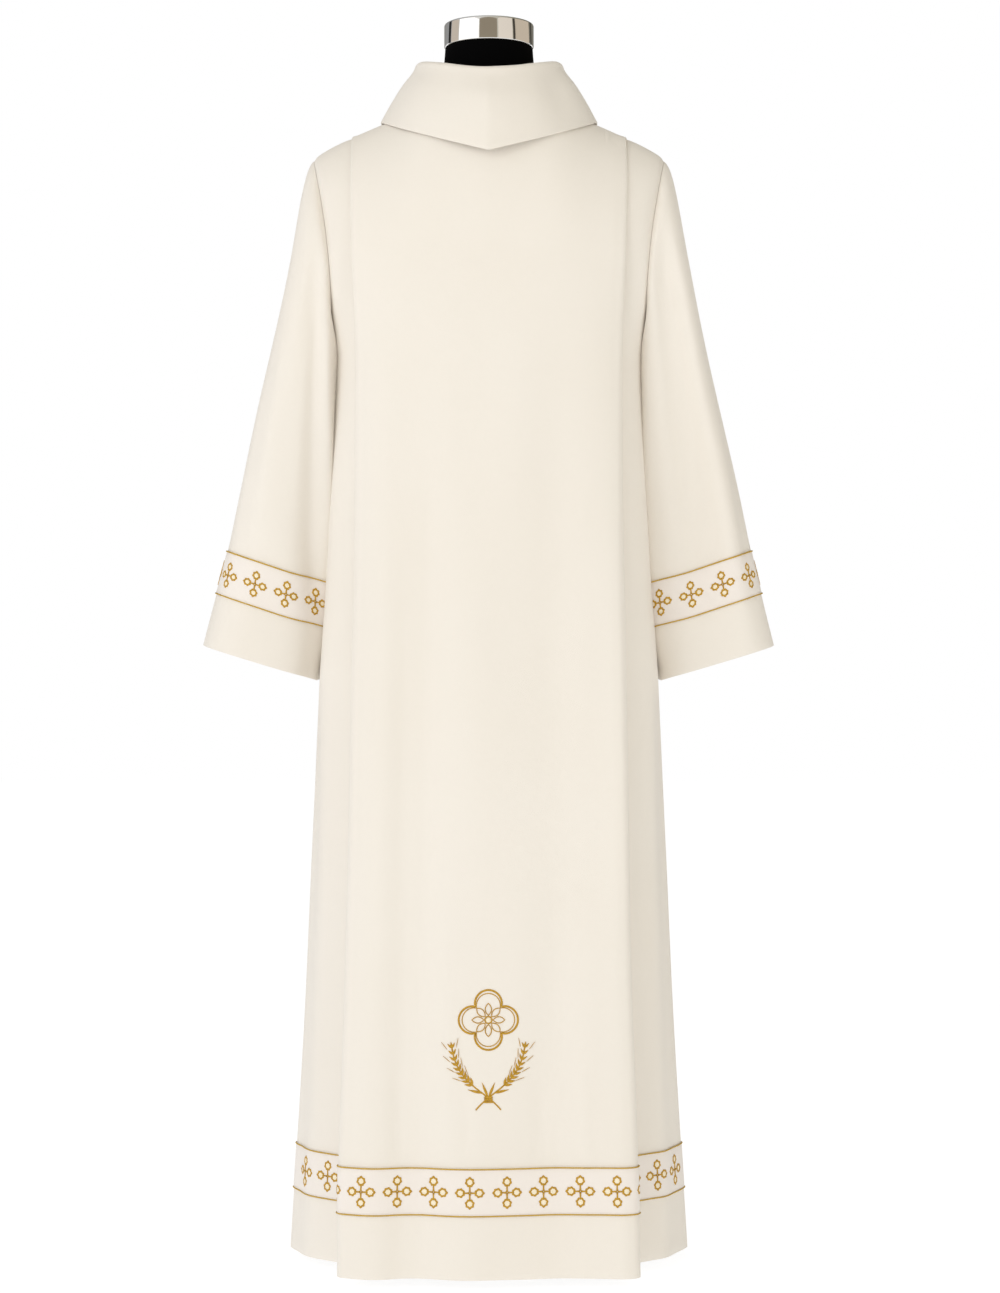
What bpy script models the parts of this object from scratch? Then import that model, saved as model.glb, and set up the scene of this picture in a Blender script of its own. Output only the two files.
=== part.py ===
"""An alb worn by a limbless dress form: the full-length white liturgical tunic, seen from behind.

The origin is on the floor under the middle of the base. +X is to the right of someone who looks
at the alb's back, +Y points from the back to the front of the wearer, and +Z is up. Metres.
"""

import math
from collections import namedtuple

import bmesh
import bpy
from mathutils import Vector

# Cloth and seams
CLOTH = 0.0015
TRIM_CLOTH = 0.0010
SEAM_GAP = 0.0003
TINY = 0.000001

# Alb: heights above the floor, and half widths from the middle line
HEM_HEIGHT = 0.012
BAND_LOW = 0.088
BAND_HIGH = 0.144
UNDERARM_HEIGHT = 1.140
UNDERARM_X = 0.1972
SHOULDER_TIP_HEIGHT = 1.396
SHOULDER_TIP_X = 0.2173
NECK_POINT_X = 0.098
ARMHOLE_DEPTH = 0.075
ARMHOLE_BOW = 0.008
ARMHOLE_MID = (UNDERARM_HEIGHT + SHOULDER_TIP_HEIGHT) / 2
ARMHOLE_HALF = (SHOULDER_TIP_HEIGHT - UNDERARM_HEIGHT) / 2

# Pleats: each middle panel folds back under itself along its edge, then comes out as the side
PLEAT_DEPTH = 0.028
PLEAT_STRAIGHT = 0.006
FOLD_RADIUS = 0.006
TIGHT_FOLD_RADIUS = 0.0006
PLEAT_ROUND_STEP = math.radians(30)

BodySection = namedtuple("BodySection", "height half_width depth pleat_x lift squareness")
BODY_SECTIONS = (
    BodySection(0.012, 0.2530, 0.1800, 0.1840, 0.060, 2.30),
    BodySection(0.300, 0.2355, 0.1660, 0.1775, 0.046, 2.34),
    BodySection(0.520, 0.2255, 0.1560, 0.1720, 0.034, 2.40),
    BodySection(0.720, 0.2155, 0.1475, 0.1685, 0.024, 2.45),
    BodySection(0.850, 0.2055, 0.1420, 0.1665, 0.018, 2.48),
    BodySection(0.980, 0.1990, 0.1365, 0.1655, 0.013, 2.50),
    BodySection(1.140, 0.1965, 0.1280, 0.1660, 0.009, 2.60),
    BodySection(1.268, 0.2120, 0.1190, 0.1700, 0.006, 2.95),
)

# The shoulder seam, as the lowest layer of cloth runs over the shoulder
ShoulderPoint = namedtuple("ShoulderPoint", "x height")
SHOULDER_LINE = (
    ShoulderPoint(0.0980, 1.4450),
    ShoulderPoint(0.1310, 1.4315),
    ShoulderPoint(0.1460, 1.4262),
    ShoulderPoint(0.1630, 1.4199),
    ShoulderPoint(0.1730, 1.4160),
    ShoulderPoint(0.1940, 1.4090),
    ShoulderPoint(0.2096, 1.4020),
    ShoulderPoint(0.2173, 1.3960),
)
SHOULDER_PLEAT_X = 0.173
SHOULDER_LIFT = 0.006
SHOULDER_ROUND_MIDDLE = 2.4
SHOULDER_ROUND_SIDE = 2.0

# The neckline under the collar, one row for each face of the alb: -1 back, +1 front
Neckline = namedtuple("Neckline", "depth middle_height side_height")
NECKLINES = {
    -1: Neckline(0.088, 1.4280, 1.4450),
    +1: Neckline(0.096, 1.3900, 1.4450),
}

# Soft folds that hang down a middle panel; x is signed, and a negative height is a trough
Fold = namedtuple("Fold", "face hem_x top_x half_width height starts")
PANEL_FOLDS = (
    Fold(-1, -0.126, -0.106, 0.030, 0.0055, 1.26),
    Fold(-1, -0.086, -0.068, 0.022, -0.0050, 1.20),
    Fold(-1, -0.024, -0.016, 0.042, 0.0040, 1.12),
    Fold(-1, 0.082, 0.084, 0.034, -0.0060, 1.24),
    Fold(-1, 0.150, 0.146, 0.024, 0.0035, 1.22),
    Fold(+1, -0.140, -0.128, 0.026, 0.0040, 1.20),
    Fold(+1, -0.070, -0.060, 0.034, -0.0060, 1.22),
    Fold(+1, 0.022, 0.012, 0.040, 0.0040, 1.10),
    Fold(+1, 0.090, 0.072, 0.024, -0.0050, 1.18),
    Fold(+1, 0.128, 0.110, 0.030, 0.0050, 1.24),
)
FOLD_GROWTH = 0.40

# Where the columns and rows of the body panels lie; the first columns end on the neckline
NECK_ANGLES = (0, 14, 28, 43, 62, 90)
NECK_POINT_SHARE = 0.566
NECK_SHARES = tuple(NECK_POINT_SHARE * math.sin(math.radians(a)) for a in NECK_ANGLES)
PANEL_SHARES = NECK_SHARES + (0.665, 0.765, 0.865)
SIDE_SHARES = (0.2, 0.42, 0.64, 0.84, 1.0)
LOWER_HEIGHTS = (HEM_HEIGHT, BAND_LOW, BAND_HIGH, 0.300, 0.500, 0.700, 0.860, 1.000, 1.080)
ARMHOLE_ANGLES = (180, 162, 144, 126, 108, 90, 72, 54, 36, 18, 0)

# Sleeve: each ring runs from the overarm point to the underarm point, and is as deep as its depth
SleeveRing = namedtuple("SleeveRing", "over_x over_z under_x under_z depth middle_y bow")
SLEEVE_RINGS = (
    SleeveRing(0.2173, 1.3960, 0.1972, 1.1400, 0.075, 0.000, 0.008),
    SleeveRing(0.2300, 1.3760, 0.1985, 1.1270, 0.077, 0.001, 0.006),
    SleeveRing(0.2380, 1.3400, 0.1992, 1.1060, 0.078, 0.003, 0.003),
    SleeveRing(0.2515, 1.2650, 0.2000, 1.0700, 0.077, 0.006, 0.000),
    SleeveRing(0.2730, 1.1630, 0.2008, 1.0180, 0.075, 0.011, 0.000),
    SleeveRing(0.2965, 1.0620, 0.2022, 0.9600, 0.073, 0.017, 0.000),
    SleeveRing(0.3200, 0.9600, 0.2050, 0.9000, 0.071, 0.023, 0.000),
    SleeveRing(0.3340, 0.8954, 0.2078, 0.8525, 0.069, 0.027, 0.000),
    SleeveRing(0.3475, 0.8419, 0.2118, 0.7965, 0.070, 0.031, 0.000),
    SleeveRing(0.3645, 0.7760, 0.2185, 0.7315, 0.072, 0.035, 0.000),
)
CUFF_BAND_RINGS = (7, 8)
SLEEVE_FOLD_GROWTH = 2.5
SleeveFold = namedtuple("SleeveFold", "face top_angle cuff_angle half_angle height")
SLEEVE_FOLDS = (
    SleeveFold(-1, 84, 128, 20, -0.0060),
    SleeveFold(-1, 60, 84, 26, 0.0030),
    SleeveFold(+1, 88, 118, 22, -0.0055),
    SleeveFold(+1, 58, 76, 26, 0.0030),
)

# Collar: a tall roll collar that turns over into a fall, pointed at the middle back and front
COLLAR_COLUMNS = 36
COLLAR_CLOTH = 0.0025
COLLAR_FOLD = 0.0075
CollarRing = namedtuple("CollarRing", "side back front")
COLLAR_TOP_RADIUS = CollarRing(0.0931, 0.0945, 0.1010)
COLLAR_TOP_HEIGHT = CollarRing(1.5125, 1.4888, 1.4650)
COLLAR_EDGE_RADIUS = CollarRing(0.1337, 0.1220, 0.1380)
COLLAR_EDGE_HEIGHT = CollarRing(1.4425, 1.3822, 1.3480)
COLLAR_EDGE_CURVE = 0.68
COLLAR_FALL_SHARES = (1.0, 0.67, 0.33)
COLLAR_FOLD_ANGLES = (0, 45, 90, 135, 180)
COLLAR_FALL_BULGE = 0.003

# Dress form: a general male torso with a capped neck, on a pole and a round base
FormSection = namedtuple("FormSection", "height half_width half_depth squareness")
FORM_SECTIONS = (
    FormSection(0.790, 0.150, 0.095, 2.2),
    FormSection(0.797, 0.162, 0.106, 2.2),
    FormSection(0.880, 0.172, 0.115, 2.2),
    FormSection(0.980, 0.164, 0.108, 2.2),
    FormSection(1.080, 0.147, 0.098, 2.2),
    FormSection(1.180, 0.158, 0.104, 2.2),
    FormSection(1.270, 0.178, 0.108, 2.2),
    FormSection(1.330, 0.193, 0.100, 2.2),
    FormSection(1.370, 0.196, 0.086, 2.2),
    FormSection(1.392, 0.192, 0.072, 2.1),
    FormSection(1.403, 0.184, 0.062, 2.0),
    FormSection(1.4162, 0.163, 0.050, 2.0),
    FormSection(1.4305, 0.124, 0.056, 2.0),
    FormSection(1.446, 0.088, 0.062, 2.0),
    FormSection(1.462, 0.068, 0.061, 2.0),
    FormSection(1.490, 0.0590, 0.0590, 2.0),
    FormSection(1.533, 0.0560, 0.0560, 2.0),
)
FORM_COLUMNS = 28
CAP_HEIGHT = 0.0300
CAP_RADIUS = 0.0568
CAP_ROUND = 0.0025
POLE_RADIUS = 0.016
BASE_RADIUS = 0.132
BASE_THICKNESS = 0.008
HUB_RADIUS = 0.030
HUB_HEIGHT = 0.050
HUB_ROUND = 0.002
SOCKET_FLOOR = 0.012
TURNED_STEPS = 40

COLLECTION = "alb_on_dress_form"
SHARP_ANGLE = math.radians(40)

# Colours, as linear values
CLOTH_COLOUR = (0.85, 0.80, 0.73)
BAND_COLOUR = (0.85, 0.75, 0.71)
FORM_COLOUR = (0.012, 0.012, 0.013)
CHROME_COLOUR = (0.75, 0.75, 0.76)
BASE_COLOUR = (0.78, 0.78, 0.77)


def smooth_row(table, key):
    """The table's row at this first-column value, on a smooth curve through all its columns."""
    last = len(table) - 1
    i = 0
    while i < last - 1 and key > table[i + 1][0]:
        i += 1
    low, high = table[i], table[i + 1]
    before, after = table[max(i - 1, 0)], table[min(i + 2, last)]
    span = high[0] - low[0]
    t = min(max((key - low[0]) / span, 0.0), 1.0)
    values = [key]
    for p0, p1, p2, p3 in zip(before[1:], low[1:], high[1:], after[1:]):
        slope_low = (p2 - p0) / (high[0] - before[0]) * span
        slope_high = (p3 - p1) / (after[0] - low[0]) * span
        values.append(
            (2 * t**3 - 3 * t**2 + 1) * p1
            + (t**3 - 2 * t**2 + t) * slope_low
            + (3 * t**2 - 2 * t**3) * p2
            + (t**3 - t**2) * slope_high
        )
    return type(low)(*values)


def ease(t):
    """0 below 0, 1 above 1, and a smooth step between them."""
    t = min(max(t, 0.0), 1.0)
    return t * t * (3 - 2 * t)


def mix(a, b, t):
    return a + (b - a) * t


def panel_fold(face, x, z):
    """How far the soft folds push this point of a middle panel out of its even shape."""
    out = 0.0
    for fold in PANEL_FOLDS:
        if fold.face != face:
            continue
        middle = mix(fold.hem_x, fold.top_x, z / fold.starts)
        grown = ease((fold.starts - z) / FOLD_GROWTH)
        out += fold.height * grown * math.exp(-(((x - middle) / fold.half_width) ** 2))
    return out


def oval_depth(section, x):
    """How far from the middle plane the lowest layer lies at this x."""
    depth = section.depth - section.lift
    share = min(abs(x) / section.half_width, 1.0)
    return depth * (1 - share**section.squareness) ** (1 / section.squareness)


def armhole_point(face, angle):
    """A point of the right armhole: angle 0 is the shoulder tip, 180 the underarm."""
    a = math.radians(angle)
    z = ARMHOLE_MID + ARMHOLE_HALF * math.cos(a)
    along = (z - UNDERARM_HEIGHT) / (2 * ARMHOLE_HALF)
    x = mix(UNDERARM_X, SHOULDER_TIP_X, along) - ARMHOLE_BOW * math.sin(a) ** 2
    return x - SEAM_GAP, face * ARMHOLE_DEPTH * math.sin(a), z


def pleat_columns(pleat_x, lift):
    """(x, rise above the lowest layer) of the folded stretch, from the panel to the side."""
    inner = min(max(lift / 8, TIGHT_FOLD_RADIUS), FOLD_RADIUS)
    outer = min(lift / 2 - inner, FOLD_RADIUS)
    inside_x = pleat_x - PLEAT_DEPTH
    half, edge = math.sin(PLEAT_ROUND_STEP), math.cos(PLEAT_ROUND_STEP)
    return [
        (pleat_x - outer - PLEAT_STRAIGHT, lift),
        (pleat_x - outer * (1 - half), lift - outer * (1 - edge)),
        (pleat_x, lift - outer),
        (pleat_x - outer * (1 - half), lift - outer * (1 + edge)),
        (pleat_x - outer - PLEAT_STRAIGHT, lift - 2 * outer),
        (inside_x + inner + PLEAT_STRAIGHT, 2 * inner),
        (inside_x + inner * (1 - half), inner * (1 + edge)),
        (inside_x, inner),
        (inside_x + inner * (1 - half), inner * (1 - edge)),
        (inside_x + inner + PLEAT_STRAIGHT, 0.0),
        (pleat_x, 0.0),
    ]


def level_row(face, hand, z, angle):
    """Half a horizontal row of a body panel, from the middle to the side seam or armhole."""
    section = smooth_row(BODY_SECTIONS, z)
    across = [(share * section.pleat_x, section.lift) for share in PANEL_SHARES]
    across += pleat_columns(section.pleat_x, section.lift)
    points = []
    for x, rise in across:
        swell = panel_fold(face, hand * x, z) * rise / section.lift
        points.append((hand * x, face * (oval_depth(section, x) + rise + swell), z))
    if angle is None:
        end_x, end_depth = section.half_width, SEAM_GAP / 2
    else:
        end_x, end_y, _ = armhole_point(face, angle)
        end_depth = max(abs(end_y), SEAM_GAP / 2)
    depth = section.depth - section.lift
    power = section.squareness
    start = math.asin((section.pleat_x / section.half_width) ** (power / 2))
    end = math.acos(min(end_depth / depth, 1.0) ** (power / 2))
    miss = end_x - section.half_width * math.sin(end) ** (2 / power)
    for share in SIDE_SHARES:
        turn = mix(start, end, share)
        x = section.half_width * math.sin(turn) ** (2 / power) + miss * ease(share)
        y = depth * math.cos(turn) ** (2 / power) if share < 1 else end_depth
        points.append((hand * x, face * y, z))
    return points


def top_point(face, x):
    """The point of the panel's top edge, on the neckline or the shoulder seam, at this x."""
    if x < NECK_POINT_X:
        neck = NECKLINES[face]
        share = x / NECK_POINT_X
        depth = neck.depth * math.sqrt(1 - share**2)
        return max(depth, SEAM_GAP / 2), mix(neck.middle_height, neck.side_height, share**2)
    return SEAM_GAP / 2, smooth_row(SHOULDER_LINE, x).height


def shoulder_row(face, hand, angle):
    """Half a row above the armhole's middle, where each column curves over to the top edge."""
    rise_share = math.cos(math.radians(angle))
    turn = math.asin(rise_share)
    section = smooth_row(BODY_SECTIONS, ARMHOLE_MID)
    below = level_row(face, 1, ARMHOLE_MID, 90)
    lift = mix(section.lift, SHOULDER_LIFT, rise_share)
    rises = [lift] * len(PANEL_SHARES)
    rises += [rise for _, rise in pleat_columns(SHOULDER_PLEAT_X, lift)]
    rises += [0.0] * len(SIDE_SHARES)
    top_xs = [share / NECK_POINT_SHARE * NECK_POINT_X for share in NECK_SHARES]
    last_x = SHOULDER_PLEAT_X - SHOULDER_LIFT / 2 - PLEAT_STRAIGHT
    for share in PANEL_SHARES[len(NECK_SHARES):]:
        along = (share - NECK_POINT_SHARE) / (1 - NECK_POINT_SHARE)
        top_xs.append(mix(NECK_POINT_X, last_x, along))
    top_xs += [x for x, _ in pleat_columns(SHOULDER_PLEAT_X, SHOULDER_LIFT)]
    top_xs += [mix(SHOULDER_PLEAT_X, SHOULDER_TIP_X - SEAM_GAP, share) for share in SIDE_SHARES]
    points = []
    for (low_x, low_y, _), rise, top_x in zip(below[:-1], rises, top_xs):
        low_depth = abs(low_y) - rise * section.lift / lift
        top_depth, top_z = top_point(face, top_x)
        reach, height = low_depth - top_depth, top_z - ARMHOLE_MID
        power = mix(SHOULDER_ROUND_MIDDLE, SHOULDER_ROUND_SIDE, min(top_x / SHOULDER_PLEAT_X, 1))
        depth = top_depth + reach * math.cos(turn) ** (2 / power)
        z = ARMHOLE_MID + height * math.sin(turn) ** (2 / power)
        lean = math.atan2(reach * math.sin(turn), height * math.cos(turn))
        x = mix(low_x, top_x, ease(rise_share))
        points.append((hand * x, face * (depth + rise * math.cos(lean)), z + rise * math.sin(lean)))
    x, y, z = armhole_point(face, angle)
    points.append((hand * x, face * max(abs(y), SEAM_GAP / 2), z))
    return points


def body_rows(face):
    """All rows of the back or front, from the hem up, in the order that faces them outwards."""
    rows = []
    for z in LOWER_HEIGHTS:
        rows.append([level_row(face, hand, z, None) for hand in (-1, 1)])
    for angle in ARMHOLE_ANGLES:
        if angle >= 90:
            z = armhole_point(face, angle)[2]
            rows.append([level_row(face, hand, z, angle) for hand in (-1, 1)])
        else:
            rows.append([shoulder_row(face, hand, angle) for hand in (-1, 1)])
    rows = [left[:0:-1] + right for left, right in rows]
    return rows if face < 0 else [row[::-1] for row in rows]


def sleeve_rows(hand):
    """The rings of a sleeve, from the armhole down to its edge."""
    angles = [(-1, a) for a in ARMHOLE_ANGLES] + [(1, a) for a in ARMHOLE_ANGLES[-2:0:-1]]
    rows = []
    for number, ring in enumerate(SLEEVE_RINGS):
        down = number / (len(SLEEVE_RINGS) - 1)
        grown = ease((number - 1) / SLEEVE_FOLD_GROWTH)
        over = Vector((ring.over_x, ring.middle_y, ring.over_z))
        under = Vector((ring.under_x, ring.middle_y, ring.under_z))
        middle, half = (over + under) / 2, (over - under) / 2
        row = []
        for face, angle in angles:
            a = math.radians(angle)
            around = Vector((0, face * math.sin(a), 0))
            swell = 0.0
            for fold in SLEEVE_FOLDS:
                if fold.face == face:
                    away = (angle - mix(fold.top_angle, fold.cuff_angle, down)) / fold.half_angle
                    swell += grown * fold.height * math.exp(-(away**2))
            outwards = (half.normalized() * math.cos(a) + around).normalized()
            point = middle + half * math.cos(a) + around * ring.depth + outwards * swell
            point.x -= ring.bow * math.sin(a) ** 2
            row.append((hand * point.x, point.y, point.z))
        rows.append(row if hand < 0 else row[::-1])
    return rows


def neckline_point(face, angle):
    """The neckline's edge at this angle from the middle, along the straight cuts of the panel."""
    number = 0
    while angle > NECK_ANGLES[number + 1] and number < len(NECK_ANGLES) - 2:
        number += 1
    before, after = NECK_ANGLES[number:number + 2]
    ends = []
    for end in (before, after):
        x = NECK_POINT_X * math.sin(math.radians(end))
        depth, height = top_point(face, min(x, NECK_POINT_X - TINY))
        ends.append(Vector((x, face * depth, height + SHOULDER_LIFT)))
    return ends[0].lerp(ends[1], (angle - before) / (after - before))


def collar_ring(ring, angle):
    """This measure of the collar's ring, part of the way from its side to its back or front."""
    middle = ring.back if math.cos(angle) > 0 else ring.front
    return mix(ring.side, middle, math.cos(angle) ** 2)


def collar_rows():
    """The rings of the collar, from the edge of its fall over the fold to the foot of its stand."""
    columns = []
    for column in range(COLLAR_COLUMNS):
        angle = 2 * math.pi * column / COLLAR_COLUMNS
        back = math.cos(angle) > 0
        side_share = abs(math.sin(angle))
        out = Vector((-math.sin(angle), -math.cos(angle), 0))
        foot = neckline_point(-1 if back else 1, math.degrees(math.asin(side_share)))
        foot = Vector((math.copysign(foot.x, out.x), foot.y, foot.z + SEAM_GAP))
        top = out * collar_ring(COLLAR_TOP_RADIUS, angle)
        top.z = collar_ring(COLLAR_TOP_HEIGHT, angle)
        edge_middle = COLLAR_EDGE_HEIGHT.back if back else COLLAR_EDGE_HEIGHT.front
        bend = COLLAR_EDGE_CURVE + (1 - COLLAR_EDGE_CURVE) * (1 - abs(math.cos(angle)))
        edge = Vector((out.x * COLLAR_EDGE_RADIUS.side, 0, 0))
        edge.y = out.y * (COLLAR_EDGE_RADIUS.back if back else COLLAR_EDGE_RADIUS.front)
        edge.z = mix(edge_middle, COLLAR_EDGE_HEIGHT.side, side_share * bend)
        start = top - Vector((0, 0, COLLAR_FOLD))
        points = []
        for share in COLLAR_FALL_SHARES:
            bulge = COLLAR_FALL_BULGE * math.sin(math.pi * share)
            points.append(start.lerp(edge, share) + out * bulge)
        for turn in map(math.radians, COLLAR_FOLD_ANGLES):
            over = out * (math.cos(turn) - 1) + Vector((0, 0, math.sin(turn)))
            points.append(start + COLLAR_FOLD * over)
        points.append(points[-1].lerp(foot, 0.5))
        points.append(foot)
        columns.append(points)
    return [list(row) for row in zip(*columns)]


def add_cell(mesh, first, second, opposite, fourth):
    """Two triangles, always parted along the same diagonal so that layers nest."""
    mesh.faces.new((first, second, opposite))
    mesh.faces.new((first, opposite, fourth))


def panel_mesh(rows, closed):
    """An open or ring-shaped grid of faces through these rows, and its vertices by row."""
    mesh = bmesh.new()
    verts = [[mesh.verts.new(point) for point in row] for row in rows]
    for low, high in zip(verts, verts[1:]):
        width = len(low) if closed else len(low) - 1
        for i in range(width):
            j = (i + 1) % len(low)
            add_cell(mesh, low[i], low[j], high[j], high[i])
    mesh.normal_update()
    return mesh, verts


def moved(rows, distance, closed, seam):
    """The same rows moved out along their normals; a seam's points stay on their own side of it."""
    mesh, verts = panel_mesh(rows, closed)
    result = []
    for r, row in enumerate(verts):
        points = []
        for c, vert in enumerate(row):
            step = seam(r, c, vert.co.copy(), vert.normal * distance)
            points.append(vert.co + step)
        result.append(points)
    mesh.free()
    return result


def wall(outer, inner, closed):
    """A closed solid between two grids of points: the outer skin, the inner one and the edges."""
    mesh, verts = panel_mesh(outer, closed)
    inside = [[mesh.verts.new(point) for point in row] for row in inner]
    last = len(verts[0]) if closed else len(verts[0]) - 1
    for r in range(len(verts) - 1):
        for i in range(last):
            j = (i + 1) % len(verts[0])
            add_cell(mesh, inside[r + 1][j], inside[r][j], inside[r][i], inside[r + 1][i])
    for i in range(last):
        j = (i + 1) % len(verts[0])
        mesh.faces.new((verts[0][j], verts[0][i], inside[0][i], inside[0][j]))
        mesh.faces.new((verts[-1][i], verts[-1][j], inside[-1][j], inside[-1][i]))
    if not closed:
        for r in range(len(verts) - 1):
            mesh.faces.new((verts[r][0], verts[r + 1][0], inside[r + 1][0], inside[r][0]))
            mesh.faces.new((verts[r + 1][-1], verts[r][-1], inside[r][-1], inside[r + 1][-1]))
    return mesh


def body_seam(face, width):
    """Keeps a panel's edge points on their own side of its side, shoulder and armhole seams."""
    def hold(row, column, point, step):
        if abs(point.y) < SEAM_GAP and step.y * face < 0:
            step.y = 0.0
        on_armhole = row >= len(LOWER_HEIGHTS) and column in (0, width - 1)
        if on_armhole and step.x * point.x > 0:
            step.x = 0.0
        return step
    return hold


def sleeve_seam(hand):
    """Keeps the points of a sleeve's first ring outside the armhole."""
    def hold(row, column, point, step):
        if row == 0 and step.x * hand < 0:
            step.x = 0.0
        return step
    return hold


def no_seam(row, column, point, step):
    return step


def add_node(name, mesh, material):
    """A new object in the alb's collection, made of this mesh."""
    data = bpy.data.meshes.new(name)
    mesh.to_mesh(data)
    mesh.free()
    data.shade_smooth()
    data.set_sharp_from_angle(angle=SHARP_ANGLE)
    node = bpy.data.objects.new(name, data)
    data.materials.append(material)
    collection().objects.link(node)
    return node


def collection():
    """The collection that holds the alb and its dress form."""
    found = bpy.data.collections.get(COLLECTION)
    if found is None:
        found = bpy.data.collections.new(COLLECTION)
        bpy.context.scene.collection.children.link(found)
    return found


def plain_material(name, colour, roughness, metallic=0.0):
    material = bpy.data.materials.new(name)
    material.use_nodes = True
    shader = material.node_tree.nodes["Principled BSDF"]
    shader.inputs["Base Color"].default_value = (*colour, 1.0)
    shader.inputs["Roughness"].default_value = roughness
    shader.inputs["Metallic"].default_value = metallic
    return material


def add_wall(name, rows, thickness, closed, seam, material):
    """A wall of cloth: its outer skin runs through these rows, and its thickness goes inwards."""
    inner = moved(rows, -thickness, closed, seam)
    return add_node(name, wall(rows, inner, closed), material)


def add_trim(name, rows, first, last, closed, seam, material):
    """A strip laid on a wall from one of its rows to another, made from its points, moved out."""
    low = moved(rows, SEAM_GAP, closed, seam)[first:last + 1]
    high = moved(rows, SEAM_GAP + TRIM_CLOTH, closed, seam)[first:last + 1]
    return add_node(name, wall(high, low, closed), material)


def add_body():
    """The back and front panels, and the band above the hem of each."""
    cloth = plain_material("alb_cloth", CLOTH_COLOUR, 0.72)
    band = plain_material("band_cloth", BAND_COLOUR, 0.66)
    for side, face in (("back", -1), ("front", 1)):
        rows = body_rows(face)
        seam = body_seam(face, len(rows[0]))
        add_wall(side, rows, CLOTH, False, seam, cloth)
        low, high = LOWER_HEIGHTS.index(BAND_LOW), LOWER_HEIGHTS.index(BAND_HIGH)
        add_trim(f"hem_band_{side}", rows, low, high, False, seam, band)


def add_sleeves():
    """The two sleeves, and the band above the edge of each."""
    cloth = plain_material("sleeve_cloth", CLOTH_COLOUR, 0.72)
    band = plain_material("cuff_band_cloth", BAND_COLOUR, 0.66)
    for side, hand in (("left", -1), ("right", 1)):
        rows = sleeve_rows(hand)
        seam = sleeve_seam(hand)
        add_wall(f"sleeve_{side}", rows, CLOTH, True, seam, cloth)
        add_trim(f"cuff_band_{side}", rows, *CUFF_BAND_RINGS, True, seam, band)


def add_collar():
    cloth = plain_material("collar_cloth", CLOTH_COLOUR, 0.70)
    add_wall("collar", collar_rows(), COLLAR_CLOTH, True, no_seam, cloth)


def add_torso():
    """The form's torso and neck, one smooth closed shell through its sections."""
    mesh = bmesh.new()
    rings = []
    for section in FORM_SECTIONS:
        ring = []
        for column in range(FORM_COLUMNS):
            a = 2 * math.pi * column / FORM_COLUMNS
            x = math.copysign(abs(math.cos(a)) ** (2 / section.squareness), math.cos(a))
            y = math.copysign(abs(math.sin(a)) ** (2 / section.squareness), math.sin(a))
            place = (x * section.half_width, y * section.half_depth, section.height)
            ring.append(mesh.verts.new(place))
        rings.append(ring)
    for low, high in zip(rings, rings[1:]):
        for i in range(FORM_COLUMNS):
            j = (i + 1) % FORM_COLUMNS
            mesh.faces.new((low[i], low[j], high[j], high[i]))
    mesh.faces.new(rings[0][::-1])
    mesh.faces.new(rings[-1])
    return add_node("form_torso", mesh, plain_material("form_cloth", FORM_COLOUR, 0.85))


def add_turned(name, profile, material):
    """A solid turned round the Z axis from a profile of (radius, height), top to bottom."""
    mesh = bmesh.new()
    verts = [mesh.verts.new((radius, 0, height)) for radius, height in profile]
    for upper, lower in zip(verts, verts[1:]):
        mesh.edges.new((upper, lower))
    node = add_node(name, mesh, material)
    screw = node.modifiers.new("turn", "SCREW")
    screw.steps = screw.render_steps = TURNED_STEPS
    screw.use_merge_vertices = True
    screw.merge_threshold = 0.00001
    return node


def add_stand():
    """The neck cap, the pole and the round base that carry the form."""
    chrome = plain_material("form_chrome", CHROME_COLOUR, 0.18, 1.0)
    paint = plain_material("base_steel", BASE_COLOUR, 0.45)
    foot, neck = FORM_SECTIONS[0].height, FORM_SECTIONS[-1].height
    low, high = neck + SEAM_GAP, neck + SEAM_GAP + CAP_HEIGHT
    add_turned("form_cap", (
        (0, high),
        (CAP_RADIUS - CAP_ROUND, high),
        (CAP_RADIUS, high - CAP_ROUND),
        (CAP_RADIUS, low + CAP_ROUND),
        (CAP_RADIUS - CAP_ROUND, low),
        (0, low),
    ), chrome)
    add_turned("form_pole", (
        (0, foot - SEAM_GAP),
        (POLE_RADIUS, foot - SEAM_GAP),
        (POLE_RADIUS, SOCKET_FLOOR + SEAM_GAP),
        (0, SOCKET_FLOOR + SEAM_GAP),
    ), plain_material("form_steel", CHROME_COLOUR, 0.3, 1.0))
    add_turned("form_base", (
        (0, SOCKET_FLOOR),
        (POLE_RADIUS + SEAM_GAP, SOCKET_FLOOR),
        (POLE_RADIUS + SEAM_GAP, HUB_HEIGHT),
        (HUB_RADIUS - HUB_ROUND, HUB_HEIGHT),
        (HUB_RADIUS, HUB_HEIGHT - HUB_ROUND),
        (HUB_RADIUS, BASE_THICKNESS),
        (BASE_RADIUS - HUB_ROUND, BASE_THICKNESS),
        (BASE_RADIUS, BASE_THICKNESS - HUB_ROUND),
        (BASE_RADIUS, 0),
        (0, 0),
    ), paint)


def main():
    for item in list(bpy.data.objects):
        bpy.data.objects.remove(item, do_unlink=True)
    add_body()
    add_sleeves()
    add_collar()
    add_torso()
    add_stand()


main()
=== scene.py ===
"""The looks of an alb on a dress form: cloth, woven bands, gold embroidery and the form's finish.

Metres, +Z up, +X to the right of someone who looks at the alb's back, +Y from its back to its front.
"""

import math
from collections import namedtuple
from functools import lru_cache, partial

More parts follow.
